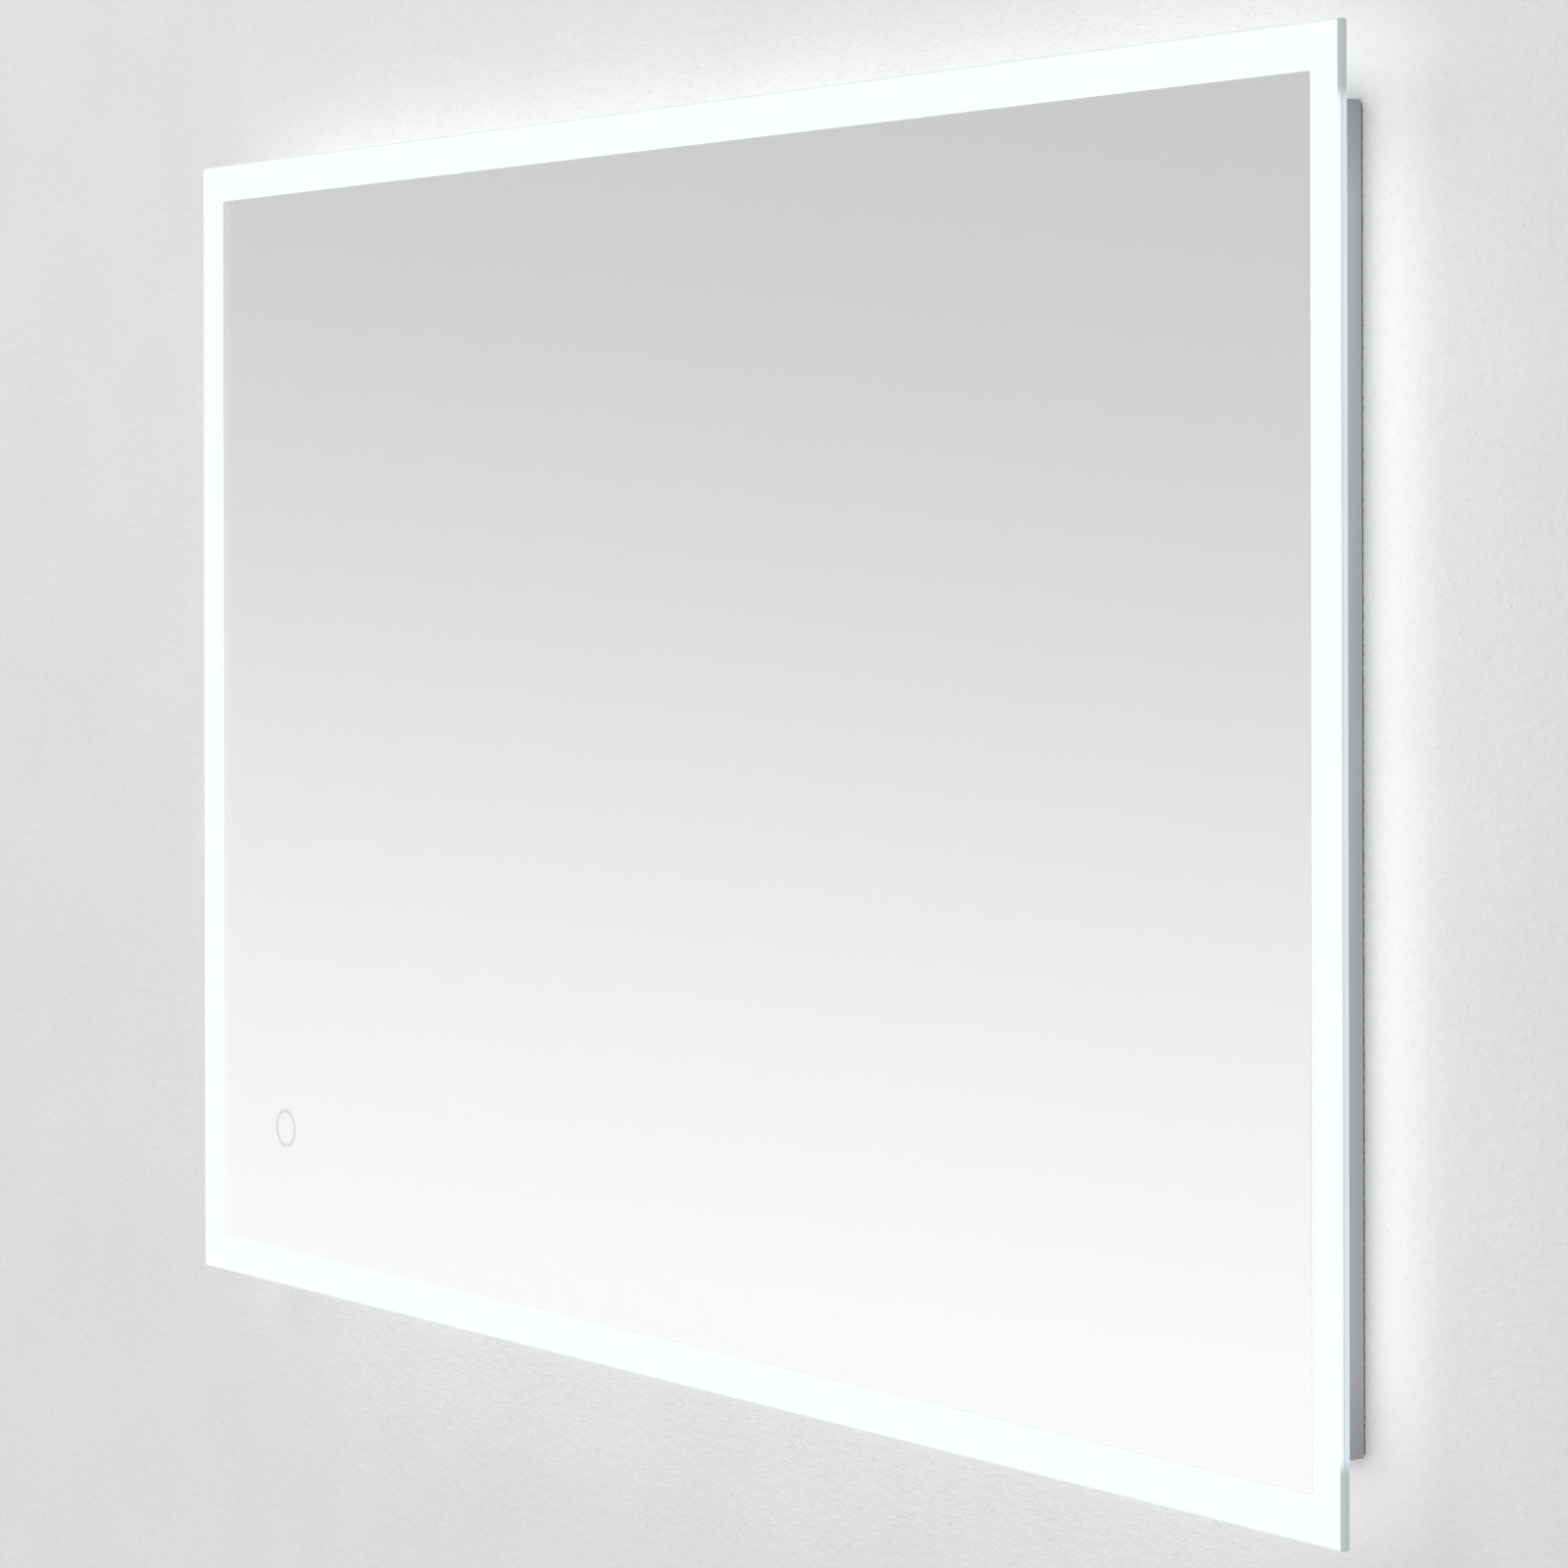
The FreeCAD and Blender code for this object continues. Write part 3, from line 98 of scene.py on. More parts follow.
class Socket:
    """A shader socket. Python's operators on it add Math nodes, and node() adds any other."""

    def __init__(self, tree, socket=None):
        self.tree = tree
        self.socket = socket

    def node(self, kind, settings, sockets, output=0):
        """A node of this kind: its settings first, then values or links for its sockets."""
        made = self.tree.nodes.new("ShaderNode" + kind)
        for name, value in settings.items():
            if name == "stops":
                for place, _ in value[1:-1]:
                    made.color_ramp.elements.new(place)
                for element, (place, colour) in zip(made.color_ramp.elements, value):
                    element.position = place
                    element.color = (*colour, 1.0)
            else:
                setattr(made, name, value)
        for name, value in sockets.items():
            if isinstance(value, Socket):
                self.tree.links.new(value.socket, made.inputs[name])
            else:
                made.inputs[name].default_value = value
        return Socket(self.tree, made.outputs[output] if made.outputs else None)

    def math(self, operation, *values):
        return self.node("Math", {"operation": operation}, dict(enumerate(values)))

    def __add__(self, other):
        return self.math("ADD", self, other)

    def __sub__(self, other):
        return self.math("SUBTRACT", self, other)

    def __rsub__(self, other):
        return self.math("SUBTRACT", other, self)

    def __mul__(self, other):
        return self.math("MULTIPLY", self, other)

    def __truediv__(self, other):
        return self.math("DIVIDE", self, other)

    def __rtruediv__(self, other):
        return self.math("DIVIDE", other, self)

    def __gt__(self, other):
        return self.math("GREATER_THAN", self, other)

    def __lt__(self, other):
        return self.math("LESS_THAN", self, other)

    def __abs__(self):
        return self.math("ABSOLUTE", self)

    __radd__ = __add__
    __rmul__ = __mul__

    def within(self, low, high):
        """0 at low, 1 at high, and straight between."""
        places = {"Value": self, "From Min": low, "From Max": high}
        return self.node("MapRange", {"clamp": True}, places)

    def mix(self, first, second):
        """A colour between two, by this socket's value."""
        ends = [end if isinstance(end, Socket) else (*end, 1.0) for end in (first, second)]
        return self.node("Mix", {"data_type": "RGBA"}, {0: self, 6: ends[0], 7: ends[1]}, 2)

    def ramp(self, stops):
        return self.node("ValToRGB", {"stops": stops}, {"Fac": self})

    def noise(self, scale, stretch=(1, 1, 1), detail=3.0):
        """Cloudy noise of about this many waves a metre, in the piece's own place."""
        place = self.node("TexCoord", {}, {}, "Object")
        place = self.node("Mapping", {}, {"Vector": place, "Scale": stretch})
        sockets = {"Vector": place, "Scale": scale, "Detail": detail}
        return self.node("TexNoise", {}, sockets)

    def axis(self, name):
        """One coordinate of the shaded point, in metres."""
        place = self.node("TexCoord", {}, {}, "Object")
        return self.node("SeparateXYZ", {}, {0: place}, name)

    def from_line(self, pitch):
        """How far the nearest line of this pitch is: 0 on it, 0.5 half way between two."""
        return self.math("PINGPONG", self / pitch, 0.5)

    def bump(self, strength, distance):
        """A normal from this socket's value as a height."""
        sockets = {"Strength": strength, "Distance": distance, "Height": self}
        return self.node("Bump", {}, sockets, "Normal")

    def surface(self, **sockets):
        """A Principled shader; a name is its socket's, with underscores for blanks."""
        named_sockets = {name.replace("_", " "): value for name, value in sockets.items()}
        return self.node("BsdfPrincipled", {}, named_sockets)

    def blend(self, first, second):
        """A shader between two, by this socket's value."""
        return self.node("MixShader", {}, {0: self, 1: first, 2: second})


def new_material(name):
    """An empty material and the socket that its nodes start from."""
    material = bpy.data.materials.new(name)
    material.use_nodes = True
    material.node_tree.nodes.clear()
    return material, Socket(material.node_tree)


def close(material, shader):
    """Ends a material with its shader and returns it."""
    shader.node("OutputMaterial", {}, {"Surface": shader})
    return material


def cover(material, *names):
    """Gives pieces of the frame their finish."""
    for name in names:
        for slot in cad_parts[name].material_slots:
            slot.material = material


def float_glass():
    material, start = new_material("float glass")
    height = start.axis("Z")
    across = abs(start.axis("X"))
    up = abs(height - middle_z)
    depth = (start.axis("Y") - pane_low.y) / pane_thickness
    sides = across > pane_half_width - arris
    edge = start.math("MAXIMUM", sides, up > pane_half_height - arris)
    above = frame_high.z + reach_past_top - height
    below = height - (frame_low.z - reach_past_bottom)
    beside = start.math("MINIMUM", above, below).within(0.0, edge_fade)
    # painted light: the edge glows and brightens where the frame stands
    lit = sides * beside + (1 - sides) * top_share
    drift = start.noise(drift_scale, drift_stretch) * drift_depth - drift_depth / 2
    dull = (depth + drift).ramp(dull_painted_streaks)
    bright = (depth + drift * lit).ramp(painted_lit_streaks)
    streaks = lit.mix(dull, bright)
    inside = start.node("NewGeometry", {}, {}, "Backfacing")
    glow = (lit * painted_edge_glow).mix(unlit, streaks)
    clear = start.surface(
        Base_Color=(*glass_tint, 1.0), Roughness=0.0, Transmission_Weight=1.0, IOR=glass_ior
    )
    ground = start.surface(
        Base_Color=inside.mix(streaks, inner_body), Roughness=edge_roughness, IOR=glass_ior,
        Emission_Color=inside.mix(glow, painted_inner_glow), Emission_Strength=1.0,
    )
    return close(material, edge.blend(clear, ground))


cover(float_glass(), "mirror_pane")

# ------------------------------------------------------------------------ silvering
# The silver and its copper and paint coats, laid on the back of the glass inside the blasted
# border. A round window is left in it for the touch ring, with a disc of silver in the middle.

frost_width = 0.0192
film_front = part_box("safety_film")[0].y
coat_gap = 0.00002
silver_low_y = pane_high.y + coat_gap
silver_high_y = film_front - coat_gap
silver_half_width = pane_half_width - frost_width
silver_half_height = pane_half_height - frost_width
silver_depth = silver_high_y - silver_low_y
silver_middle_y = (silver_low_y + silver_high_y) / 2
silver_corner = 0.0009
silver_rim = 0.0005
corner_steps = 5
circle_steps = 96
window_depth = 0.01
faces_front = (math.pi / 2, 0, 0)
ring_low, ring_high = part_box("ring_guide")
ring_x = (ring_low.x + ring_high.x) / 2
ring_z = (ring_low.z + ring_high.z) / 2
ring_outer = 0.0100
ring_inner = 0.0085
silver_colour = (0.935, 0.935, 0.935)
silver_edge_colour = (0.80, 0.81, 0.81)
tarnish_colour = (0.86, 0.86, 0.85)
tarnish_scale = 7.0
tarnish_share = 0.012


def deselect():
    bpy.ops.object.select_all(action="DESELECT")


def activate(piece):
    """Makes this the one piece that the next operators work on."""
    deselect()
    bpy.context.view_layer.objects.active = piece
    piece.select_set(True)


def named(name, scale=(1, 1, 1)):
    """The primitive just added, under its own name, with its place put into its mesh."""
    piece = bpy.context.active_object
    piece.name = name
    piece.data.name = name
    piece.scale = scale
    bpy.ops.object.transform_apply(location=True, rotation=True, scale=True)
    return piece


def pick(piece, kind, test):
    """In edit mode, selects the vertices, edges or faces that pass the test."""
    bpy.ops.mesh.select_mode(type={"verts": "VERT", "edges": "EDGE", "faces": "FACE"}[kind])
    bpy.ops.mesh.select_all(action="DESELECT")
    mesh = bmesh.from_edit_mesh(piece.data)
    for part in getattr(mesh, kind):
        part.select_set(test(part))
    mesh.select_flush_mode()
    bmesh.update_edit_mesh(piece.data)


def outwards():
    """In edit mode, turns all faces outwards, and goes back to object mode."""
    bpy.ops.mesh.select_all(action="SELECT")
    bpy.ops.mesh.normals_make_consistent(inside=False)
    bpy.ops.object.mode_set(mode="OBJECT")


def combine(piece, tool, operation):
    """Cuts or joins a piece with a tool, which is then gone."""
    activate(piece)
    bpy.ops.object.modifier_add(type="BOOLEAN")
    piece.modifiers[0].object = tool
    piece.modifiers[0].operation = operation
    bpy.ops.object.modifier_apply(modifier=piece.modifiers[0].name)
    bpy.data.objects.remove(tool)


def rides(piece, material, body="mirror"):
    """Gives a new piece its finish and its body."""
    piece.data.materials.clear()
    piece.data.materials.append(material)
    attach(piece, body)


def mirror_silver():
    material, start = new_material("mirror silver")
    inside_x = silver_half_width - abs(start.axis("X"))
    inside_z = silver_half_height - abs(start.axis("Z") - middle_z)
    rim = start.math("MINIMUM", inside_x, inside_z).within(silver_rim, 0.0)
    tarnish = start.noise(tarnish_scale) * tarnish_share
    colour = rim.mix(silver_colour, silver_edge_colour)
    colour = tarnish.mix(colour, tarnish_colour)
    return close(material, start.surface(Base_Color=colour, Metallic=1.0, Roughness=0.0))


deselect()
bpy.ops.mesh.primitive_cube_add(size=1, location=(0, silver_middle_y, middle_z))
silver_size = (2 * silver_half_width, silver_depth, 2 * silver_half_height)
silver = named("silver_coat", silver_size)
bpy.ops.object.mode_set(mode="EDIT")
pick(silver, "edges", lambda edge: edge.calc_length() < 2 * silver_depth)
bpy.ops.mesh.bevel(offset=silver_corner, segments=corner_steps, affect="EDGES")
outwards()

deselect()
bpy.ops.mesh.primitive_cylinder_add(
    vertices=circle_steps, radius=ring_outer, depth=window_depth,
    location=(ring_x, silver_low_y, ring_z), rotation=faces_front,
)
combine(silver, named("window_tool"), "DIFFERENCE")

deselect()
bpy.ops.mesh.primitive_cylinder_add(
    vertices=circle_steps, radius=ring_inner, depth=silver_depth,
    location=(ring_x, silver_middle_y, ring_z), rotation=faces_front,
)
named("silver_disc")
silver.select_set(True)
bpy.context.view_layer.objects.active = silver
bpy.ops.object.join()
rides(silver, mirror_silver())
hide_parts("silver_layer")

# ------------------------------------------------------------------------ frosted border
# The border is blasted into the back of the glass, 19 mm wide. Its even glow is painted light in
# place of the light behind it, a little dimmer towards the bottom and brighter on its rear face,
# which lights the wall. Its inner corners are barely rounded, as the masking was.

frost_gap = 0.00003
frost_depth = 0.0001
frost_outer_gap = 0.00085
frost_painted_glow = (0.900, 0.985, 0.930)
frost_painted_glow_low = (0.850, 0.950, 0.885)
frost_painted_glow_rear = (1.22, 1.22, 1.25)
frost_grain_painted_glow = (0.80, 0.88, 0.86)
frost_body = (0.16, 0.17, 0.17)
frost_body_grain = (0.22, 0.23, 0.23)
frost_grain_scale = 900.0
frost_grain_share = 0.03
frost_body_share = 0.3
frost_cloud_scale = 9.0
frost_cloud_share = 0.02
frost_roughness = 0.7
frost_relief = (0.15, 0.00005)
hole_reach = 0.1


def blasted_glass():
    material, start = new_material("blasted glass, lit")
    grain = start.noise(frost_grain_scale, detail=2.0)
    cloud = start.noise(frost_cloud_scale) * frost_cloud_share
    # painted light: the border's glow, dimmer towards the bottom and brighter on the rear face
    down = (start.axis("Z") - middle_z).within(pane_half_height, -pane_half_height)
    speckle = grain * frost_grain_share + cloud
    glow = speckle.mix(down.mix(frost_painted_glow, frost_painted_glow_low), frost_grain_painted_glow)
    rear = start.axis("Y") > pane_high.y - 2 * frost_gap
    glow = rear.mix(glow, frost_painted_glow_rear)
    shader = start.surface(
        Base_Color=(grain * frost_body_share).mix(frost_body, frost_body_grain),
        Roughness=frost_roughness, Emission_Color=glow, Emission_Strength=1.0,
        Normal=grain.bump(*frost_relief),
    )
    return close(material, shader)


deselect()
bpy.ops.mesh.primitive_plane_add(
    size=1, location=(0, pane_high.y - frost_depth + frost_gap, middle_z), rotation=faces_front
)
frost_half_width = pane_half_width - frost_outer_gap
frost_half_height = pane_half_height - frost_outer_gap
frost = named("frost_border", (2 * frost_half_width, 2 * frost_half_height, 1))
bpy.ops.object.mode_set(mode="EDIT")
bpy.ops.mesh.select_all(action="SELECT")
bpy.ops.mesh.inset(thickness=frost_width - frost_outer_gap - frost_gap)
inner_x = silver_half_width + 2 * frost_gap
pick(frost, "verts", lambda vertex: abs(vertex.co.x) < inner_x)
bpy.ops.mesh.bevel(offset=silver_corner, segments=corner_steps, affect="VERTICES")


def in_hole(face):
    """Whether a face is the one in the border's middle, which the mirror fills."""
    middle = face.calc_center_median()
    return abs(middle.x) < hole_reach and abs(middle.z - middle_z) < hole_reach


pick(frost, "faces", in_hole)
bpy.ops.mesh.delete(type="FACE")
bpy.ops.mesh.select_all(action="SELECT")
bpy.ops.mesh.extrude_region_move(
    TRANSFORM_OT_translate={"value": (0, frost_depth - 2 * frost_gap, 0)}
)
outwards()
rides(frost, blasted_glass())

# ------------------------------------------------------------------------ touch ring
# A ring blasted through the silver near the lower left corner, backed by the opal guide of the
# touch sensor. Two fine dark rims bound a band that glows a cool white, painted light in place of
# the guide's light.

ring_gap = 0.00003
ring_middle = (ring_x, pane_high.y - frost_depth + ring_gap, ring_z)
rim_ends = 0.00055
rim_solid = 0.00040
ring_painted_glow = (0.86, 0.92, 1.00)
ring_rim_colour = (0.40, 0.43, 0.46)
ring_speck = (0.4, 0.42, 0.45)
ring_speck_scale = 2500.0
ring_speck_share = 0.08
ring_body = (0.12, 0.12, 0.125)
ring_roughness = 0.6
ring_strength = 0.92


def ring_glass():
    material, start = new_material("ring, lit")
    across = start.axis("X") - ring_x
    up = start.axis("Z") - ring_z
    radius = start.math("SQRT", across * across + up * up)
    inward = radius - ring_inner
    outward = ring_outer - radius
    rim = start.math("MINIMUM", inward, outward).within(rim_ends, rim_solid)
    speck = start.noise(ring_speck_scale, detail=2.0) * ring_speck_share
    # painted light: the band's cool white glow
    colour = speck.mix(rim.mix(ring_painted_glow, ring_rim_colour), ring_speck)
    shader = start.surface(
        Base_Color=(*ring_body, 1.0), Roughness=ring_roughness,
        Emission_Color=colour, Emission_Strength=ring_strength,
    )
    return close(material, shader)


deselect()
bpy.ops.mesh.primitive_circle_add(
    vertices=circle_steps, radius=ring_inner + ring_gap, fill_type="NOTHING",
    location=ring_middle, rotation=faces_front,
)
ring = named("touch_ring")
growth = (ring_outer - ring_gap) / (ring_inner + ring_gap)
bpy.ops.object.mode_set(mode="EDIT")
bpy.ops.mesh.select_all(action="SELECT")
bpy.ops.mesh.extrude_edges_move()
bpy.ops.transform.resize(value=(growth, 1, growth), center_override=ring_middle)
bpy.ops.mesh.select_all(action="SELECT")
bpy.ops.mesh.extrude_region_move(
    TRANSFORM_OT_translate={"value": (0, frost_depth - 2 * ring_gap, 0)}
)
outwards()
rides(ring, ring_glass())

# ------------------------------------------------------------------------ safety film
# A grey film over the paint, which holds the glass together if it breaks. Fine threads cross in
# it, and it has faint ripples from being rolled on.

film_colour = (0.66, 0.70, 0.73)
film_ripple = (0.58, 0.62, 0.66)
film_thread = (0.76, 0.79, 0.81)
film_roughness = 0.34
film_roughness_spread = 0.2
film_relief = (0.25, 0.0001)
thread_pitch = 0.006
thread_edge = 0.07
thread_core = 0.03
thread_share = 0.5
ripple_scale = 14.0
ripple_stretch = (1, 1, 3)
ripple_share = 0.35
ripple_height = 3.0


def backing_film():
    material, start = new_material("safety film")
    threads = []
    for name in ("X", "Z"):
        threads.append(start.axis(name).from_line(thread_pitch).within(thread_edge, thread_core))
    thread = start.math("MAXIMUM", *threads)
    ripple = start.noise(ripple_scale, ripple_stretch)
    weave = thread * thread_share
    colour = weave.mix((ripple * ripple_share).mix(film_colour, film_ripple), film_thread)
    relief = (ripple * ripple_height + thread).bump(*film_relief)
    shader = start.surface(
        Base_Color=colour, Roughness=ripple * film_roughness_spread + film_roughness,
        Normal=relief,
    )
    return close(material, shader)


cover(backing_film(), "safety_film")

# ------------------------------------------------------------------------ bonding tape
# Strips of dark grey closed-cell foam tape, which carry the pane on the frame. The cut cells
# show as specks.

tape_grey = (0.20, 0.21, 0.22)
tape_cell = (0.12, 0.125, 0.13)
tape_cells = 900.0
cell_core = 0.15
cell_wall = 0.55
foam_roughness = 0.9
foam_relief = (0.4, 0.0002)


def foam(name, colour, cell_colour, cells):
    """Closed-cell foam with about this many cells a metre."""
    material, start = new_material(name)
    place = start.node("TexCoord", {}, {}, "Object")
    cell = start.node("TexVoronoi", {}, {"Vector": place, "Scale": cells}, "Distance")
    tone = cell.within(cell_core, cell_wall).mix(cell_colour, colour)
    shader = start.surface(
        Base_Color=tone, Roughness=foam_roughness, Normal=cell.bump(*foam_relief)
    )
    return close(material, shader)


cover(foam("bonding tape", tape_grey, tape_cell, tape_cells), "bonding_tape")

# ------------------------------------------------------------------------ light frame
# Four lengths of one extruded aluminium section, sawn to 45 degrees and satin anodised. The
# extrusion's fine lines run along each length, and its colour shifts a little along them. Painted
# shade darkens it near the corners, near the wall and towards its foot.

frame_metal = (0.556, 0.590, 0.618)
frame_metal_dark = (0.479, 0.512, 0.540)
frame_roughness = 0.5
frame_metallic = 0.5
painted_rear_shade = (0.25, 0.26, 0.26)
rear_start_y = -0.010
rear_end_y = -0.001
painted_rear_shade_share = 0.3
seam_tone = (0.10, 0.105, 0.11)
seam_edge = 0.0004
seam_core = 0.00015
seam_share = 0.7
seam_depth = 4.0
painted_end_shade = (0.27, 0.28, 0.285)
painted_end_shade_reach = 0.040
painted_end_shade_share = 0.70
painted_foot_shade_share = 0.35
metal_line_scale = 1100.0
metal_band_scale = 90.0
metal_line_stretch = 0.012
metal_low = 0.3
metal_high = 0.7
metal_cloud_scale = 5.0
metal_cloud_share = 0.12
metal_roughness_spread = 0.16
metal_relief = (0.12, 0.00006)


def drawn_metal(name, colour, dark, roughness, way, metallic=1.0, framed=False):
    """Drawn metal with fine lines along X or Z. The frame's has mitre lines and painted shade
    too.
    """
    material, start = new_material(name)
    stretch = (metal_line_stretch, 1, 1) if way == "X" else (1, 1, metal_line_stretch)
    lines = start.noise(metal_line_scale, stretch, detail=2.0)
    bands = start.noise(metal_band_scale, stretch, detail=2.0)
    cloud = start.noise(metal_cloud_scale)
    tone = (lines * 0.5 + bands * 0.5).within(metal_low, metal_high).mix(dark, colour)
    tone = (cloud * metal_cloud_share).mix(tone, colour)
    height = lines
    if framed:
        # painted shade: darker towards the wall, towards the foot and near the corners
        rear = start.axis("Y").within(rear_start_y, rear_end_y)
        tone = (rear * painted_rear_shade_share).mix(tone, painted_rear_shade)
        aside = abs(start.axis("X")) - frame_high.x
        along = abs(start.axis("Z") - middle_z) - (frame_high.z - middle_z)
        seam = abs(aside - along).within(seam_edge, seam_core)
        tone = (seam * seam_share).mix(tone, seam_tone)
        rise = start.axis("Z").within(frame_low.z, frame_high.z)
        tone = ((1 - rise) * painted_foot_shade_share).mix(tone, painted_end_shade)
        tone = ((aside + along).within(-painted_end_shade_reach, 0.0) * painted_end_shade_share).mix(tone, painted_end_shade)
        height = lines - seam * seam_depth
    smoothest = roughness - metal_roughness_spread / 2
    shader = start.surface(
        Base_Color=tone, Metallic=metallic, Roughness=lines * metal_roughness_spread + smoothest,
        Normal=height.bump(*metal_relief),
    )
    return close(material, shader)


for way, sides in (("X", ("frame_top", "frame_bottom")), ("Z", ("frame_left", "frame_right"))):
    anodised = drawn_metal(
        "anodised along " + way, frame_metal, frame_metal_dark, frame_roughness, way,
        frame_metallic, framed=True,
    )
    cover(anodised, *sides)

# ------------------------------------------------------------------------ diffusers
# Opal covers snapped into the channel. The lights behind show as a slight swell of brightness
# at every chip, and they fade towards the mitres, where the tapes end.

opal_body = (0.90, 0.92, 0.91)
opal_fleck = (0.84, 0.86, 0.85)
opal_roughness = 0.38
opal_glow = (0.94, 0.95, 1.00)
opal_glow_low = (0.82, 0.83, 0.88)
opal_end_glow = (0.28, 0.285, 0.30)
chip_pitch = 0.025
swell_depth = 0.25
fleck_scale = 300.0
fleck_share = 0.1
fade_length = 0.034
diffuser_strength = 1.75


def opal(name, way, strength, centre=0.0, reach=None):
    """Lit opal plastic. With a reach, it fades before this distance on both sides of centre."""
    material, start = new_material(name)
    phase = start.axis(way) * (2 * math.pi / chip_pitch)
    swell = start.math("COSINE", phase) * swell_depth + (1 - swell_depth)
    fleck = start.noise(fleck_scale) * fleck_share
    glow = (swell - fleck).mix(opal_glow_low, opal_glow)
    if reach:
        end = abs(start.axis(way) - centre).within(reach - fade_length, reach)
        glow = end.mix(glow, opal_end_glow)
    shader = start.surface(
        Base_Color=fleck.mix(opal_body, opal_fleck), Roughness=opal_roughness,
        Emission_Color=glow, Emission_Strength=strength,
    )
    return close(material, shader)


along = opal("opal, along", "X", diffuser_strength, 0.0, frame_high.x)
upright = opal("opal, upright", "Z", diffuser_strength, middle_z, frame_high.z - middle_z)
cover(along, "diffuser_top", "diffuser_bottom")
cover(upright, "diffuser_left", "diffuser_right")

# ------------------------------------------------------------------------ light tape
# White flexible boards with a copper pad pair and a cut mark between groups of chips, the
# phosphor-coated chips on them, and flat two-core links round the corners.

tape_white = (0.86, 0.86, 0.84)
tape_copper = (0.72, 0.45, 0.28)
tape_cut = (0.1, 0.1, 0.1)
tape_roughness = 0.4
tape_roughness_spread = 0.2
tape_sheen_scale = 400.0
cut_pitch = 0.050
cut_half_width = 0.006
pad_pitch = 0.004
pad_half_length = 0.05
pad_gap = 0.2
pad_metallic = 0.9
phosphor_yellow = (0.95, 0.86, 0.40)
phosphor_deep = (0.90, 0.78, 0.30)
phosphor_roughness = 0.25
phosphor_scale = 3000.0
phosphor_relief = (0.2, 0.00002)
sheath_white = (0.84, 0.84, 0.82)
sheath_dull = (0.74, 0.74, 0.71)
sheath_roughness = 0.36
sheath_roughness_spread = 0.2
sheath_cloud_scale = 45.0
sheath_cloud_share = 0.5
sheath_grain_scale = 1500.0
sheath_relief = (0.08, 0.00003)


def tape_board(name, way):
    """White lacquer with its cut marks and pads set out along X or Z."""
    material, start = new_material(name)
    along = start.axis(way).from_line(cut_pitch)
    side = start.axis("Y").from_line(pad_pitch)
    pad = (along < pad_half_length) * (side > pad_gap)
    line = along < cut_half_width
    colour = line.mix(pad.mix(tape_white, tape_copper), tape_cut)
    soft = start.noise(tape_sheen_scale) * tape_roughness_spread + tape_roughness
    shader = start.surface(Base_Color=colour, Roughness=soft, Metallic=pad * pad_metallic)
    return close(material, shader)


cover(tape_board("tape board, along", "X"), "light_tape_top", "light_tape_bottom")
cover(tape_board("tape board, upright", "Z"), "light_tape_left", "light_tape_right")


def phosphor():
    material, start = new_material("phosphor chip")
    grain = start.noise(phosphor_scale)
    colour = grain.mix(phosphor_yellow, phosphor_deep)
    shader = start.surface(
        Base_Color=colour, Roughness=phosphor_roughness, Normal=grain.bump(*phosphor_relief)
    )
    return close(material, shader)


cover(phosphor(), "light_chips", "ring_lights")


def sheath():
    """Soft wire sheath: smooth, with faint dull patches from handling."""
    material, start = new_material("white sheath")
    cloud = start.noise(sheath_cloud_scale)
    fine = start.noise(sheath_grain_scale)
    tone = (cloud * sheath_cloud_share).mix(sheath_white, sheath_dull)
    shader = start.surface(
        Base_Color=tone, Roughness=cloud * sheath_roughness_spread + sheath_roughness,
        Normal=fine.bump(*sheath_relief),
    )
    return close(material, shader)


white_sheath = sheath()
cover(white_sheath, "tape_links")

# ------------------------------------------------------------------------ corner keys
# Die-cast keys in the rear chamber, which pull the mitres together, and the countersunk socket
# screws that hold them. The castings are matt and faintly pitted.

cast_grey = (0.50, 0.51, 0.52)
cast_bright = (0.60, 0.61, 0.62)
cast_roughness = 0.42
cast_roughness_spread = 0.25
cast_pit_scale = 700.0
cast_flow_scale = 40.0
cast_relief = (0.35, 0.0001)
zinc_grey = (0.66, 0.67, 0.66)
zinc_bright = (0.78, 0.79, 0.80)
zinc_roughness = 0.24
zinc_roughness_spread = 0.2
zinc_bloom_scale = 350.0
zinc_grain_scale = 4000.0
zinc_relief = (0.1, 0.00002)


def cast_metal():
    material, start = new_material("cast metal")
    pits = start.noise(cast_pit_scale)
    flow = start.noise(cast_flow_scale)
    tone = flow.mix(cast_grey, cast_bright)
    shader = start.surface(
        Base_Color=tone, Metallic=1.0, Roughness=pits * cast_roughness_spread + cast_roughness,
        Normal=pits.bump(*cast_relief),
    )
    return close(material, shader)


def zinc_plate():
    material, start = new_material("zinc plate")
    bloom = start.noise(zinc_bloom_scale)
    fine = start.noise(zinc_grain_scale)
    tone = bloom.mix(zinc_grey, zinc_bright)
    shader = start.surface(
        Base_Color=tone, Metallic=1.0, Roughness=bloom * zinc_roughness_spread + zinc_roughness,
        Normal=fine.bump(*zinc_relief),
    )
    return close(material, shader)


cover(cast_metal(), "corner_keys")
cover(zinc_plate(), "key_screws", "lid_screws", "terminal_screws")

# ------------------------------------------------------------------------ wall bumpers
# Thin black rubber discs stuck to the frame's rear face, which keep the mirror off the wall.
# The gland's seal and the two grommets are of the same rubber, a little dusty in patches.

rubber_black = (0.045, 0.045, 0.048)
rubber_dusty = (0.085, 0.085, 0.088)
rubber_roughness = 0.62
rubber_roughness_spread = 0.2
rubber_grain_scale = 1800.0
rubber_relief = (0.3, 0.00005)
dust_scale = 120.0
dust_low = 0.45
dust_high = 0.8


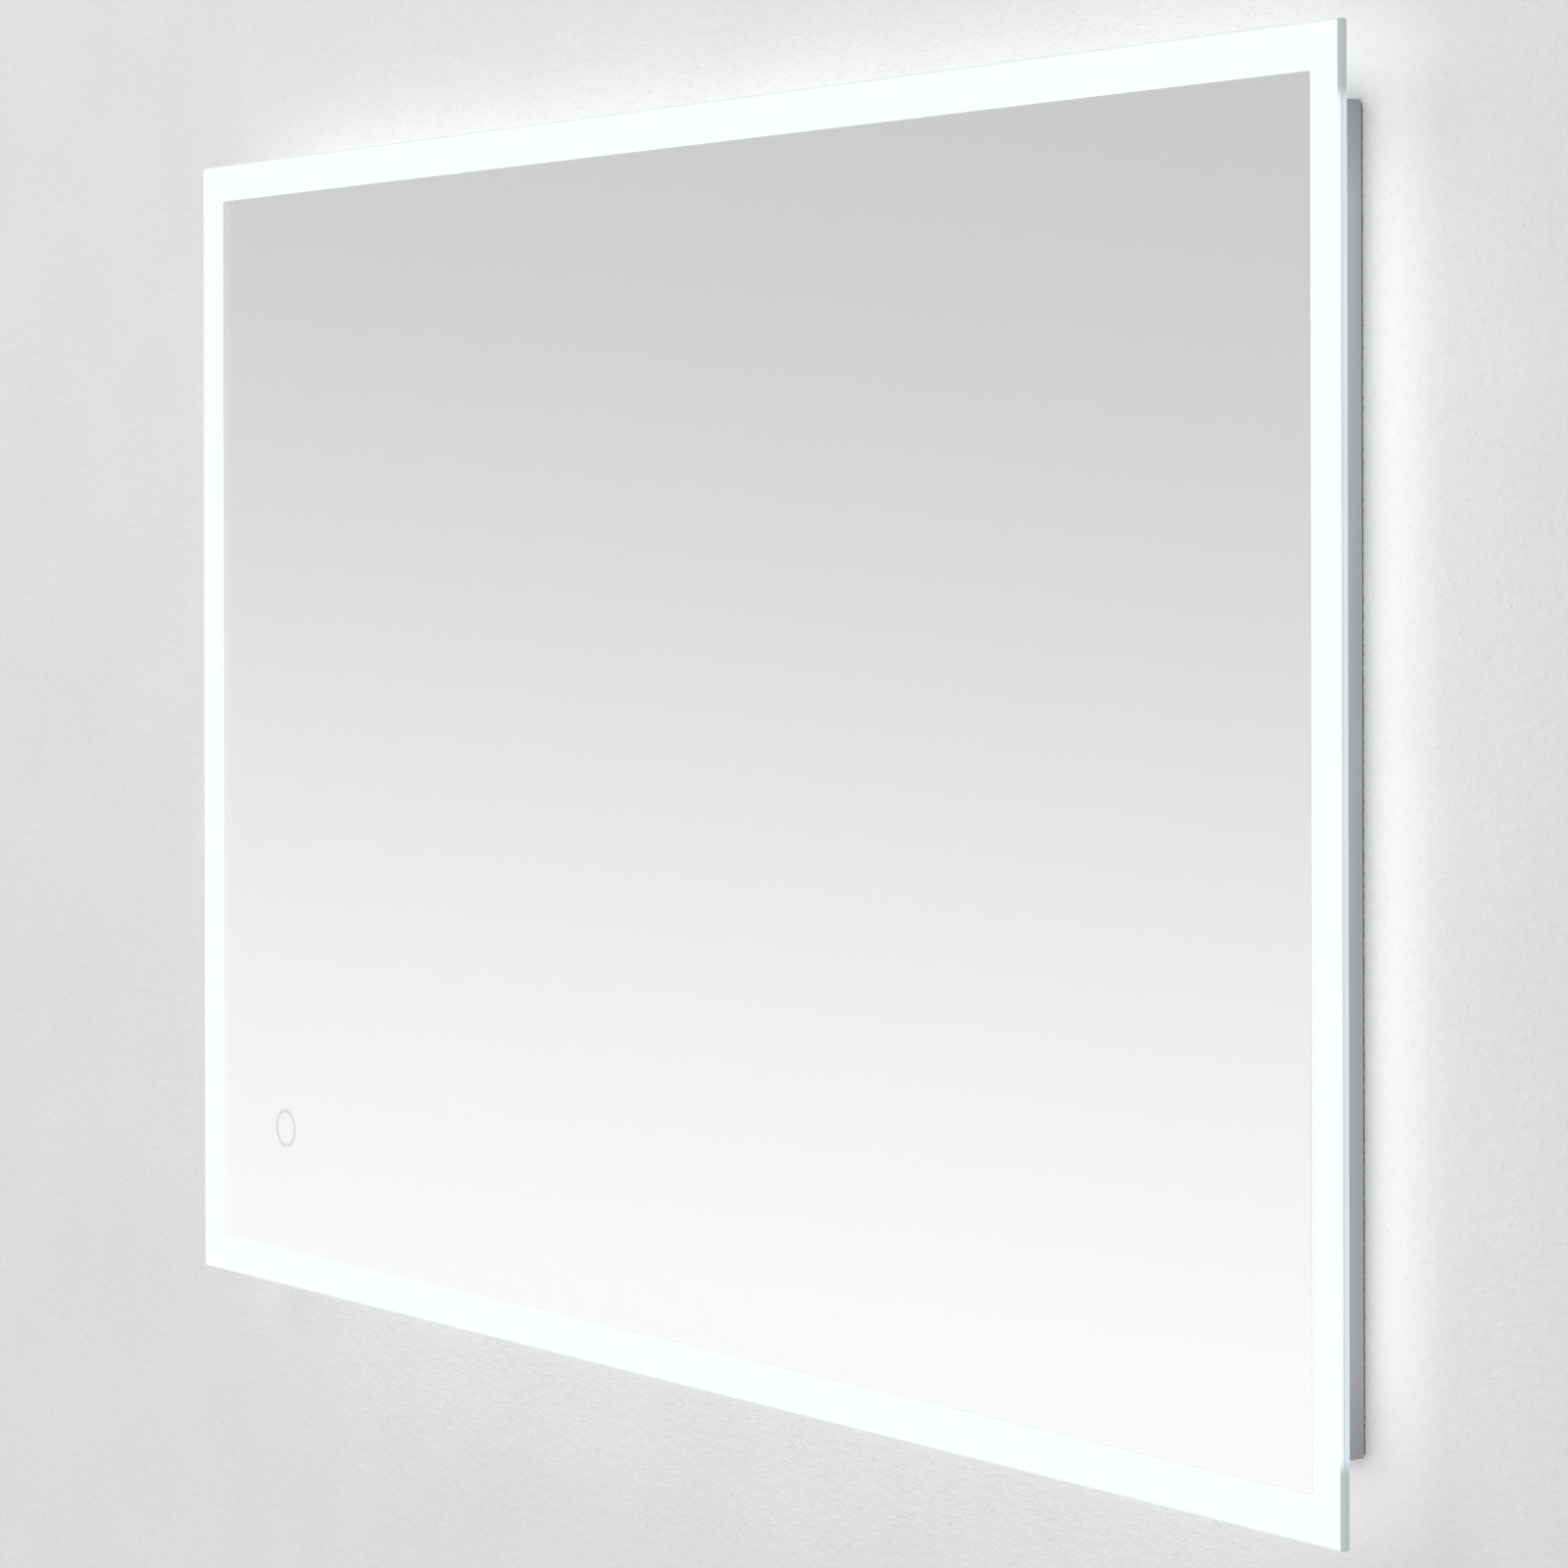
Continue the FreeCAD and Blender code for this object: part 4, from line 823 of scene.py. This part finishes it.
def rubber():
    material, start = new_material("black rubber")
    grain = start.noise(rubber_grain_scale)
    dust = start.noise(dust_scale)
    tone = dust.within(dust_low, dust_high).mix(rubber_black, rubber_dusty)
    shader = start.surface(
        Base_Color=tone, Roughness=dust * rubber_roughness_spread + rubber_roughness,
        Normal=grain.bump(*rubber_relief),
    )
    return close(material, shader)


cover(rubber(), "wall_bumpers", "gland_seal", "channel_grommet", "driver_grommet")

# ------------------------------------------------------------------------ rails and rivets
# Two hooked rails in mill-finish aluminium: the lower one is screwed to the wall, the upper one
# hangs over it and is riveted under the top of the frame.

rail_metal = (0.72, 0.73, 0.74)
rail_metal_dark = (0.60, 0.61, 0.62)
rail_roughness = 0.36
rivet_metal = (0.78, 0.79, 0.80)
rivet_metal_dark = (0.66, 0.67, 0.68)
rivet_roughness = 0.30

mill_finish = drawn_metal("mill finish", rail_metal, rail_metal_dark, rail_roughness, "X")
cover(mill_finish, "wall_rail", "hanging_rail")
rivet_finish = drawn_metal("rivet metal", rivet_metal, rivet_metal_dark, rivet_roughness, "Z")
cover(rivet_finish, "rail_rivets")

# ------------------------------------------------------------------------ driver
# A light grey moulded case with a screwed lid, stuck to the film with white foam. Its board
# carries the transformer, three capacitors and the mains terminal.

case_grey = (0.80, 0.81, 0.80)
case_roughness = 0.52
mould_grain_scale = 1600.0
mould_grain_share = 0.2
mould_flow_scale = 18.0
mould_flow_stretch = (1, 1, 2.5)
mould_flow_share = 0.4
mould_deep_share = 0.86
mould_roughness_spread = 0.16
mould_relief = (0.3, 0.00006)
foam_white = (0.86, 0.86, 0.84)
foam_cell = (0.74, 0.74, 0.72)
foam_cells = 1100.0
board_green = (0.02, 0.20, 0.10)
board_light_green = (0.02, 0.23, 0.12)
board_roughness = 0.35
trace_green = (0.06, 0.36, 0.20)
trace_scale = 190.0
trace_width = 0.035
trace_blur = 0.1
trace_pattern = {"offset": 0.37, "offset_frequency": 2, "squash": 1.6, "squash_frequency": 3}
solder = (0.70, 0.71, 0.72)
solder_scale = 260.0
solder_reach = 0.13
solder_metallic = 0.9
ferrite_black = (0.07, 0.07, 0.075)
ferrite_grey = (0.15, 0.15, 0.155)
ferrite_roughness = 0.55
ferrite_scale = 1400.0
ferrite_relief = (0.3, 0.00008)
coil_yellow = (0.88, 0.72, 0.16)
coil_deep = (0.80, 0.62, 0.12)
coil_line = (0.55, 0.42, 0.06)
coil_roughness = 0.28
coil_relief = (0.4, 0.0001)
coil_wave_scale = 160.0
wrap_pitch = 0.0022
wrap_line = 0.12
can_sleeve = (0.07, 0.08, 0.14)
can_metal = (0.68, 0.69, 0.70)
can_metallic = 0.95
can_roughness = 0.25
can_roughness_spread = 0.15
can_scale = 900.0
can_top_depth = 0.0009
can_top_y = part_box("driver_capacitors")[1].y - can_top_depth
terminal_green = (0.16, 0.40, 0.24)
terminal_roughness = 0.45


def moulded(name, colour, roughness, grain_scale=mould_grain_scale):
    """Moulded plastic with a fine spark-eroded grain and faint flow marks."""
    material, start = new_material(name)
    grain = start.noise(grain_scale, detail=4.0)
    flow = start.noise(mould_flow_scale, mould_flow_stretch)
    deep = tuple(mould_deep_share * part for part in colour)
    tone = (flow * mould_flow_share + grain * mould_grain_share).mix(colour, deep)
    smoothest = roughness - mould_roughness_spread / 2
    shader = start.surface(
        Base_Color=tone, Roughness=grain * mould_roughness_spread + smoothest,
        Normal=grain.bump(*mould_relief),
    )
    return close(material, shader)


cover(moulded("case plastic", case_grey, case_roughness), "driver_base", "driver_lid")
cover(foam("white foam", foam_white, foam_cell, foam_cells), "foam_pads", "sensor_pad")


def circuit_board():
    material, start = new_material("circuit board")
    place = start.node("TexCoord", {}, {}, "Object")
    turned = start.node("Mapping", {}, {"Vector": place, "Rotation": faces_front})
    sockets = {
        "Vector": turned, "Scale": trace_scale, "Mortar Size": trace_width,
        "Mortar Smooth": trace_blur, "Color1": (*board_green, 1.0),
        "Color2": (*board_light_green, 1.0), "Mortar": (*trace_green, 1.0),
    }
    traces = start.node("TexBrick", trace_pattern, sockets)
    spots = start.node("TexVoronoi", {}, {"Vector": place, "Scale": solder_scale}, "Distance")
    pad = spots < solder_reach
    colour = pad.mix(traces, solder)
    shader = start.surface(
        Base_Color=colour, Roughness=board_roughness, Metallic=pad * solder_metallic
    )
    return close(material, shader)


cover(circuit_board(), "driver_board", "sensor_board")


def ferrite():
    material, start = new_material("ferrite")
    grain = start.noise(ferrite_scale)
    tone = grain.mix(ferrite_black, ferrite_grey)
    shader = start.surface(
        Base_Color=tone, Roughness=ferrite_roughness, Normal=grain.bump(*ferrite_relief)
    )
    return close(material, shader)


def coil_tape():
    material, start = new_material("coil tape")
    wraps = start.axis("X").from_line(wrap_pitch).within(0.0, wrap_line)
    wave = start.noise(coil_wave_scale)
    tone = wraps.mix(coil_line, wave.mix(coil_yellow, coil_deep))
    shader = start.surface(
        Base_Color=tone, Roughness=coil_roughness, Normal=wraps.bump(*coil_relief)
    )
    return close(material, shader)


def capacitor_can():
    material, start = new_material("capacitor can")
    top = start.axis("Y") > can_top_y
    fine = start.noise(can_scale)
    tone = top.mix(can_sleeve, can_metal)
    shader = start.surface(
        Base_Color=tone, Metallic=top * can_metallic,
        Roughness=fine * can_roughness_spread + can_roughness,
    )
    return close(material, shader)


cover(ferrite(), "transformer_core")
cover(coil_tape(), "transformer_coil")
cover(capacitor_can(), "driver_capacitors")
cover(moulded("terminal plastic", terminal_green, terminal_roughness), "terminal_block")

# ------------------------------------------------------------------------ cord gland
# A grey nylon gland in the end of the driver case: body, lock nut, seal and domed cap. The cap
# is moulded with ribs all round, so that it can be turned by hand.

nylon_grey = (0.62, 0.64, 0.65)
nylon_roughness = 0.48
nylon_grain_scale = 1200.0
merge_distance = 0.000001
smooth_angle = math.radians(32.0)
cap_low, cap_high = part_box("gland_cap")
cap_y = (cap_low.y + cap_high.y) / 2
cap_z = (cap_low.z + cap_high.z) / 2
cap_radius = (cap_high.y - cap_low.y) / 2
rib_count = 26
rib_radius = 0.0006
rib_length = 0.0074
rib_start = 0.0004
rib_round = 0.0003
rib_sides = 12
rib_round_steps = 2
rib_turn = 2 * math.pi * (rib_count - 1) / rib_count


def copy_of(node, name):
    """A new piece that starts as a merged copy of a CAD node's mesh."""
    piece = bpy.data.objects.new(name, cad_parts[node].data.copy())
    piece.data.name = name
    bpy.context.scene.collection.objects.link(piece)
    activate(piece)
    bpy.ops.object.mode_set(mode="EDIT")
    bpy.ops.mesh.select_all(action="SELECT")
    bpy.ops.mesh.remove_doubles(threshold=merge_distance)
    bpy.ops.object.mode_set(mode="OBJECT")
    bpy.ops.mesh.customdata_custom_splitnormals_clear()
    return piece


def crisp(piece):
    """Smooth shading but for the edges."""
    activate(piece)
    bpy.ops.object.shade_smooth_by_angle(angle=smooth_angle)


gland_nylon = moulded("gland nylon", nylon_grey, nylon_roughness, nylon_grain_scale)
cover(gland_nylon, "cord_gland", "gland_nut")

cap = copy_of("gland_cap", "ribbed_cap")
deselect()
bpy.ops.mesh.primitive_cylinder_add(
    vertices=rib_sides, radius=rib_radius, depth=rib_length, rotation=(0, math.pi / 2, 0),
    location=(cap_low.x + rib_start + rib_length / 2, cap_y + cap_radius, cap_z),
)
ribs = named("cap_ribs")
bpy.ops.object.mode_set(mode="EDIT")
pick(ribs, "edges", lambda edge: edge.calc_length() < rib_radius)
bpy.ops.mesh.bevel(offset=rib_round, segments=rib_round_steps, affect="EDGES")
bpy.ops.mesh.select_all(action="SELECT")
bpy.ops.mesh.spin(
    steps=rib_count - 1, dupli=True, angle=rib_turn,
    center=(0, cap_y, cap_z), axis=(1, 0, 0),
)
outwards()
combine(cap, ribs, "UNION")
crisp(cap)
rides(cap, gland_nylon)
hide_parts("gland_cap")

# ------------------------------------------------------------------------ touch sensor
# A black moulded cup behind the ring, with a bead and a boss on its closed end. In it a sprung
# copper cap carries the touch from the glass to its board, and an opal guide takes the light of
# four chips to the ring.

case_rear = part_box("sensor_case")[1].y
case_bead = 0.0123
bead_radius = 0.0006
bead_lift = 0.00012
bead_sides = 10
boss_radius = 0.0042
boss_height = 0.0007
boss_sink = 0.0003
boss_sides = 64
boss_round = 0.0003
boss_round_steps = 3
boss_rim_y = case_rear + boss_height - boss_round / 2
sensor_black = (0.07, 0.07, 0.075)
sensor_roughness = 0.5
copper_brown = (0.78, 0.46, 0.30)
copper_bright = (0.86, 0.56, 0.40)
copper_roughness = 0.18
copper_roughness_spread = 0.2
copper_line_scale = 1500.0
copper_line_stretch = (1, 0.1, 1)
guide_strength = 0.9

case = copy_of("sensor_case", "beaded_case")
deselect()
bpy.ops.mesh.primitive_torus_add(
    major_segments=circle_steps, minor_segments=bead_sides,
    major_radius=case_bead, minor_radius=bead_radius,
    location=(ring_x, case_rear + bead_lift, ring_z), rotation=faces_front,
)
combine(case, named("case_bead"), "UNION")
deselect()
bpy.ops.mesh.primitive_cylinder_add(
    vertices=boss_sides, radius=boss_radius, depth=boss_height + boss_sink,
    location=(ring_x, case_rear + (boss_height - boss_sink) / 2, ring_z), rotation=faces_front,
)
boss = named("case_boss")
bpy.ops.object.mode_set(mode="EDIT")
pick(boss, "edges", lambda edge: min(vertex.co.y for vertex in edge.verts) > boss_rim_y)
bpy.ops.mesh.bevel(offset=boss_round, segments=boss_round_steps, affect="EDGES")
outwards()
combine(case, boss, "UNION")
crisp(case)
rides(case, moulded("sensor plastic", sensor_black, sensor_roughness))
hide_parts("sensor_case")


def bright_copper():
    material, start = new_material("bright copper")
    lines = start.noise(copper_line_scale, copper_line_stretch)
    tone = lines.mix(copper_brown, copper_bright)
    soft = lines * copper_roughness_spread + copper_roughness
    return close(material, start.surface(Base_Color=tone, Metallic=1.0, Roughness=soft))


cover(bright_copper(), "touch_electrode")
cover(opal("opal, ring", "X", guide_strength), "ring_guide")

# ------------------------------------------------------------------------ leads and clips
# White leads from the driver to the sensor and on to the light tape, through a grommet at the
# driver and one at the channel. Adhesive clips hold them to the film.

clip_white = (0.84, 0.84, 0.82)
clip_roughness = 0.42

cover(white_sheath, "supply_lead", "strip_lead")
cover(moulded("clip plastic", clip_white, clip_roughness), "lead_clips")

# ------------------------------------------------------------------------ wall and floor
# The wall that the mirror hangs on, in pale plaster, and a plain pale floor 1.5 m below. Each
# shows only its front, so that the mirror can be looked at from behind and from below.

wall_y = 0.0003
wall_tone = (0.835, 0.833, 0.820)
wall_deep_share = 0.94
wall_mottle = 12.0
floor_tone = (0.88, 0.88, 0.875)
floor_deep_share = 0.96
floor_mottle = 3.0
floor_drop = 1.5
floor_z = middle_z - floor_drop
room_width = 8.0
room_height = 4.5
mottle_low = 0.3
mottle_high = 0.7
lump_ratio = 14.0
lump_stretch = (1, 1, 1.4)
grain_ratio = 40.0
grain_height = 0.5
plaster_stretch = (1, 1, 1.3)
plaster_relief = (0.6, 0.0016)
speck_scale = 420.0
speck_edge = 0.36
speck_core = 0.24
speck_share = 0.35
speck_tone = (0.45, 0.45, 0.43)
gap_outer = (0.0000, -0.0006)
gap_inner = (-0.0022, -0.0014)
gap_waver = 0.0016
gap_painted_shadow_share = 0.75
gap_painted_shadow_tone = (0.10, 0.10, 0.095)


def one_sided(name, colour, deep_share, mottle, gap=False):
    """A matt face, clear from its back, with a dark line of painted shadow round the frame if
    asked.
    """
    material, start = new_material(name)
    deep = tuple(deep_share * part for part in colour)
    cloud = start.noise(mottle)
    lumps = start.noise(mottle * lump_ratio, lump_stretch, detail=6.0)
    tone = (cloud * 0.5 + lumps * 0.5).within(mottle_low, mottle_high).mix(deep, colour)
    if gap:
        specks = start.noise(speck_scale, plaster_stretch, detail=4.0)
        tone = (specks.within(speck_edge, speck_core) * speck_share).mix(tone, speck_tone)
        # painted shadow: a dark line on the wall where the frame's gap meets it
        aside = abs(start.axis("X")) - frame_high.x
        along = abs(start.axis("Z") - middle_z) - (frame_high.z - middle_z)
        past = start.math("MAXIMUM", aside, along) + specks * gap_waver
        line = past.within(*gap_inner) * past.within(*gap_outer)
        tone = (line * gap_painted_shadow_share).mix(tone, gap_painted_shadow_tone)
    grain = start.noise(mottle * grain_ratio, plaster_stretch, detail=5.0)
    relief = (lumps + grain * grain_height).bump(*plaster_relief)
    face = start.node("BsdfDiffuse", {}, {"Color": tone, "Normal": relief})
    gone = start.node("BsdfTransparent", {}, {})
    back = start.node("NewGeometry", {}, {}, "Backfacing")
    return close(material, back.blend(face, gone))


def staged(name, location, rotation, scale, material):
    """A plane that isn't part of the object and that mirrors and glass don't show."""
    deselect()
    bpy.ops.mesh.primitive_plane_add(size=1, location=location, rotation=rotation)
    plane = named(name, scale)
    plane.data.materials.append(material)
    plane.visible_glossy = False
    plane.visible_transmission = False
    return plane


plaster = one_sided("plaster", wall_tone, wall_deep_share, wall_mottle, gap=True)
wall_place = (0, wall_y, floor_z + room_height / 2)
wall = staged("wall", wall_place, faces_front, (room_width, room_height, 1), plaster)
wall.visible_diffuse = False
wall.visible_shadow = False
paving = one_sided("pale floor", floor_tone, floor_deep_share, floor_mottle)
staged("floor", (0, 0, floor_z), (0, 0, 0), (room_width, room_width, 1), paving)

# ------------------------------------------------------------------------ light and camera
# Even light from all round, one large soft lamp, and for mirrors and glass a soft slanting
# gradient, as a plain room with a pale lower half gives. The camera stands to the right.

camera_place = (1.77368, -1.28763, -0.11902)
camera_yaw = 0.93457
camera_roll = 0.00212
camera_lens = 106.16
camera_sensor = 36.0
camera_shift = -0.15607
camera_near = 0.05
camera_far = 50.0
lamp_place = (-1.6, -2.6, 1.6)
lamp_turn = (math.radians(58.0), 0, math.radians(-31.0))
lamp_size = 2.0
lamp_energy = 20.0
room_level = 0.80
pale_level = 0.92
room_slant = 0.137
slant_start = 0.4052
slant_rate = -3.6748
mirror_share = 0.93
room_tones = [
    (0.00, 0.591),
    (0.25, 0.652),
    (0.44, 0.720),
    (0.62, 0.803),
    (0.81, 0.886),
    (1.00, 0.958),
]

world = bpy.data.worlds.new("room")
bpy.context.scene.world = world
world.use_nodes = True
world.node_tree.nodes.clear()
start = Socket(world.node_tree)
direction = start.node("TexCoord", {}, {}, "Generated")
slant = (room_slant * math.cos(camera_yaw), -room_slant * math.sin(camera_yaw), 1.0)
height = start.node("VectorMath", {"operation": "DOT_PRODUCT"}, {0: direction, 1: slant}, "Value")
tones = [(place, (tone / mirror_share,) * 3) for place, tone in room_tones]
mirrored = (height * slant_rate + slant_start).ramp(tones)
glossy = start.node("LightPath", {}, {}, "Is Glossy Ray")
through = start.node("LightPath", {}, {}, "Is Transmission Ray")
seen = start.node("LightPath", {}, {}, "Is Camera Ray")
level = start.math("MAXIMUM", glossy, through).mix((room_level,) * 3, mirrored)
level = seen.mix(level, (pale_level,) * 3)
sky = start.node("Background", {}, {"Color": level, "Strength": 1.0})
start.node("OutputWorld", {}, {"Surface": sky})

deselect()
bpy.ops.object.light_add(type="AREA", location=lamp_place)
lamp = bpy.context.active_object
lamp.name = "soft_lamp"
lamp.data.shape = "DISK"
lamp.data.size = lamp_size
lamp.data.energy = lamp_energy
lamp.rotation_euler = lamp_turn
lamp.visible_glossy = False
lamp.visible_transmission = False
lamp.visible_camera = False

deselect()
bpy.ops.object.camera_add(location=camera_place)
camera = bpy.context.active_object
camera.name = "camera"
camera.rotation_euler = (math.pi / 2, camera_roll, camera_yaw)
camera.data.lens = camera_lens
camera.data.sensor_width = camera_sensor
camera.data.shift_y = camera_shift
camera.data.clip_start = camera_near
camera.data.clip_end = camera_far
bpy.context.scene.camera = camera
bpy.context.scene.view_settings.view_transform = "Standard"
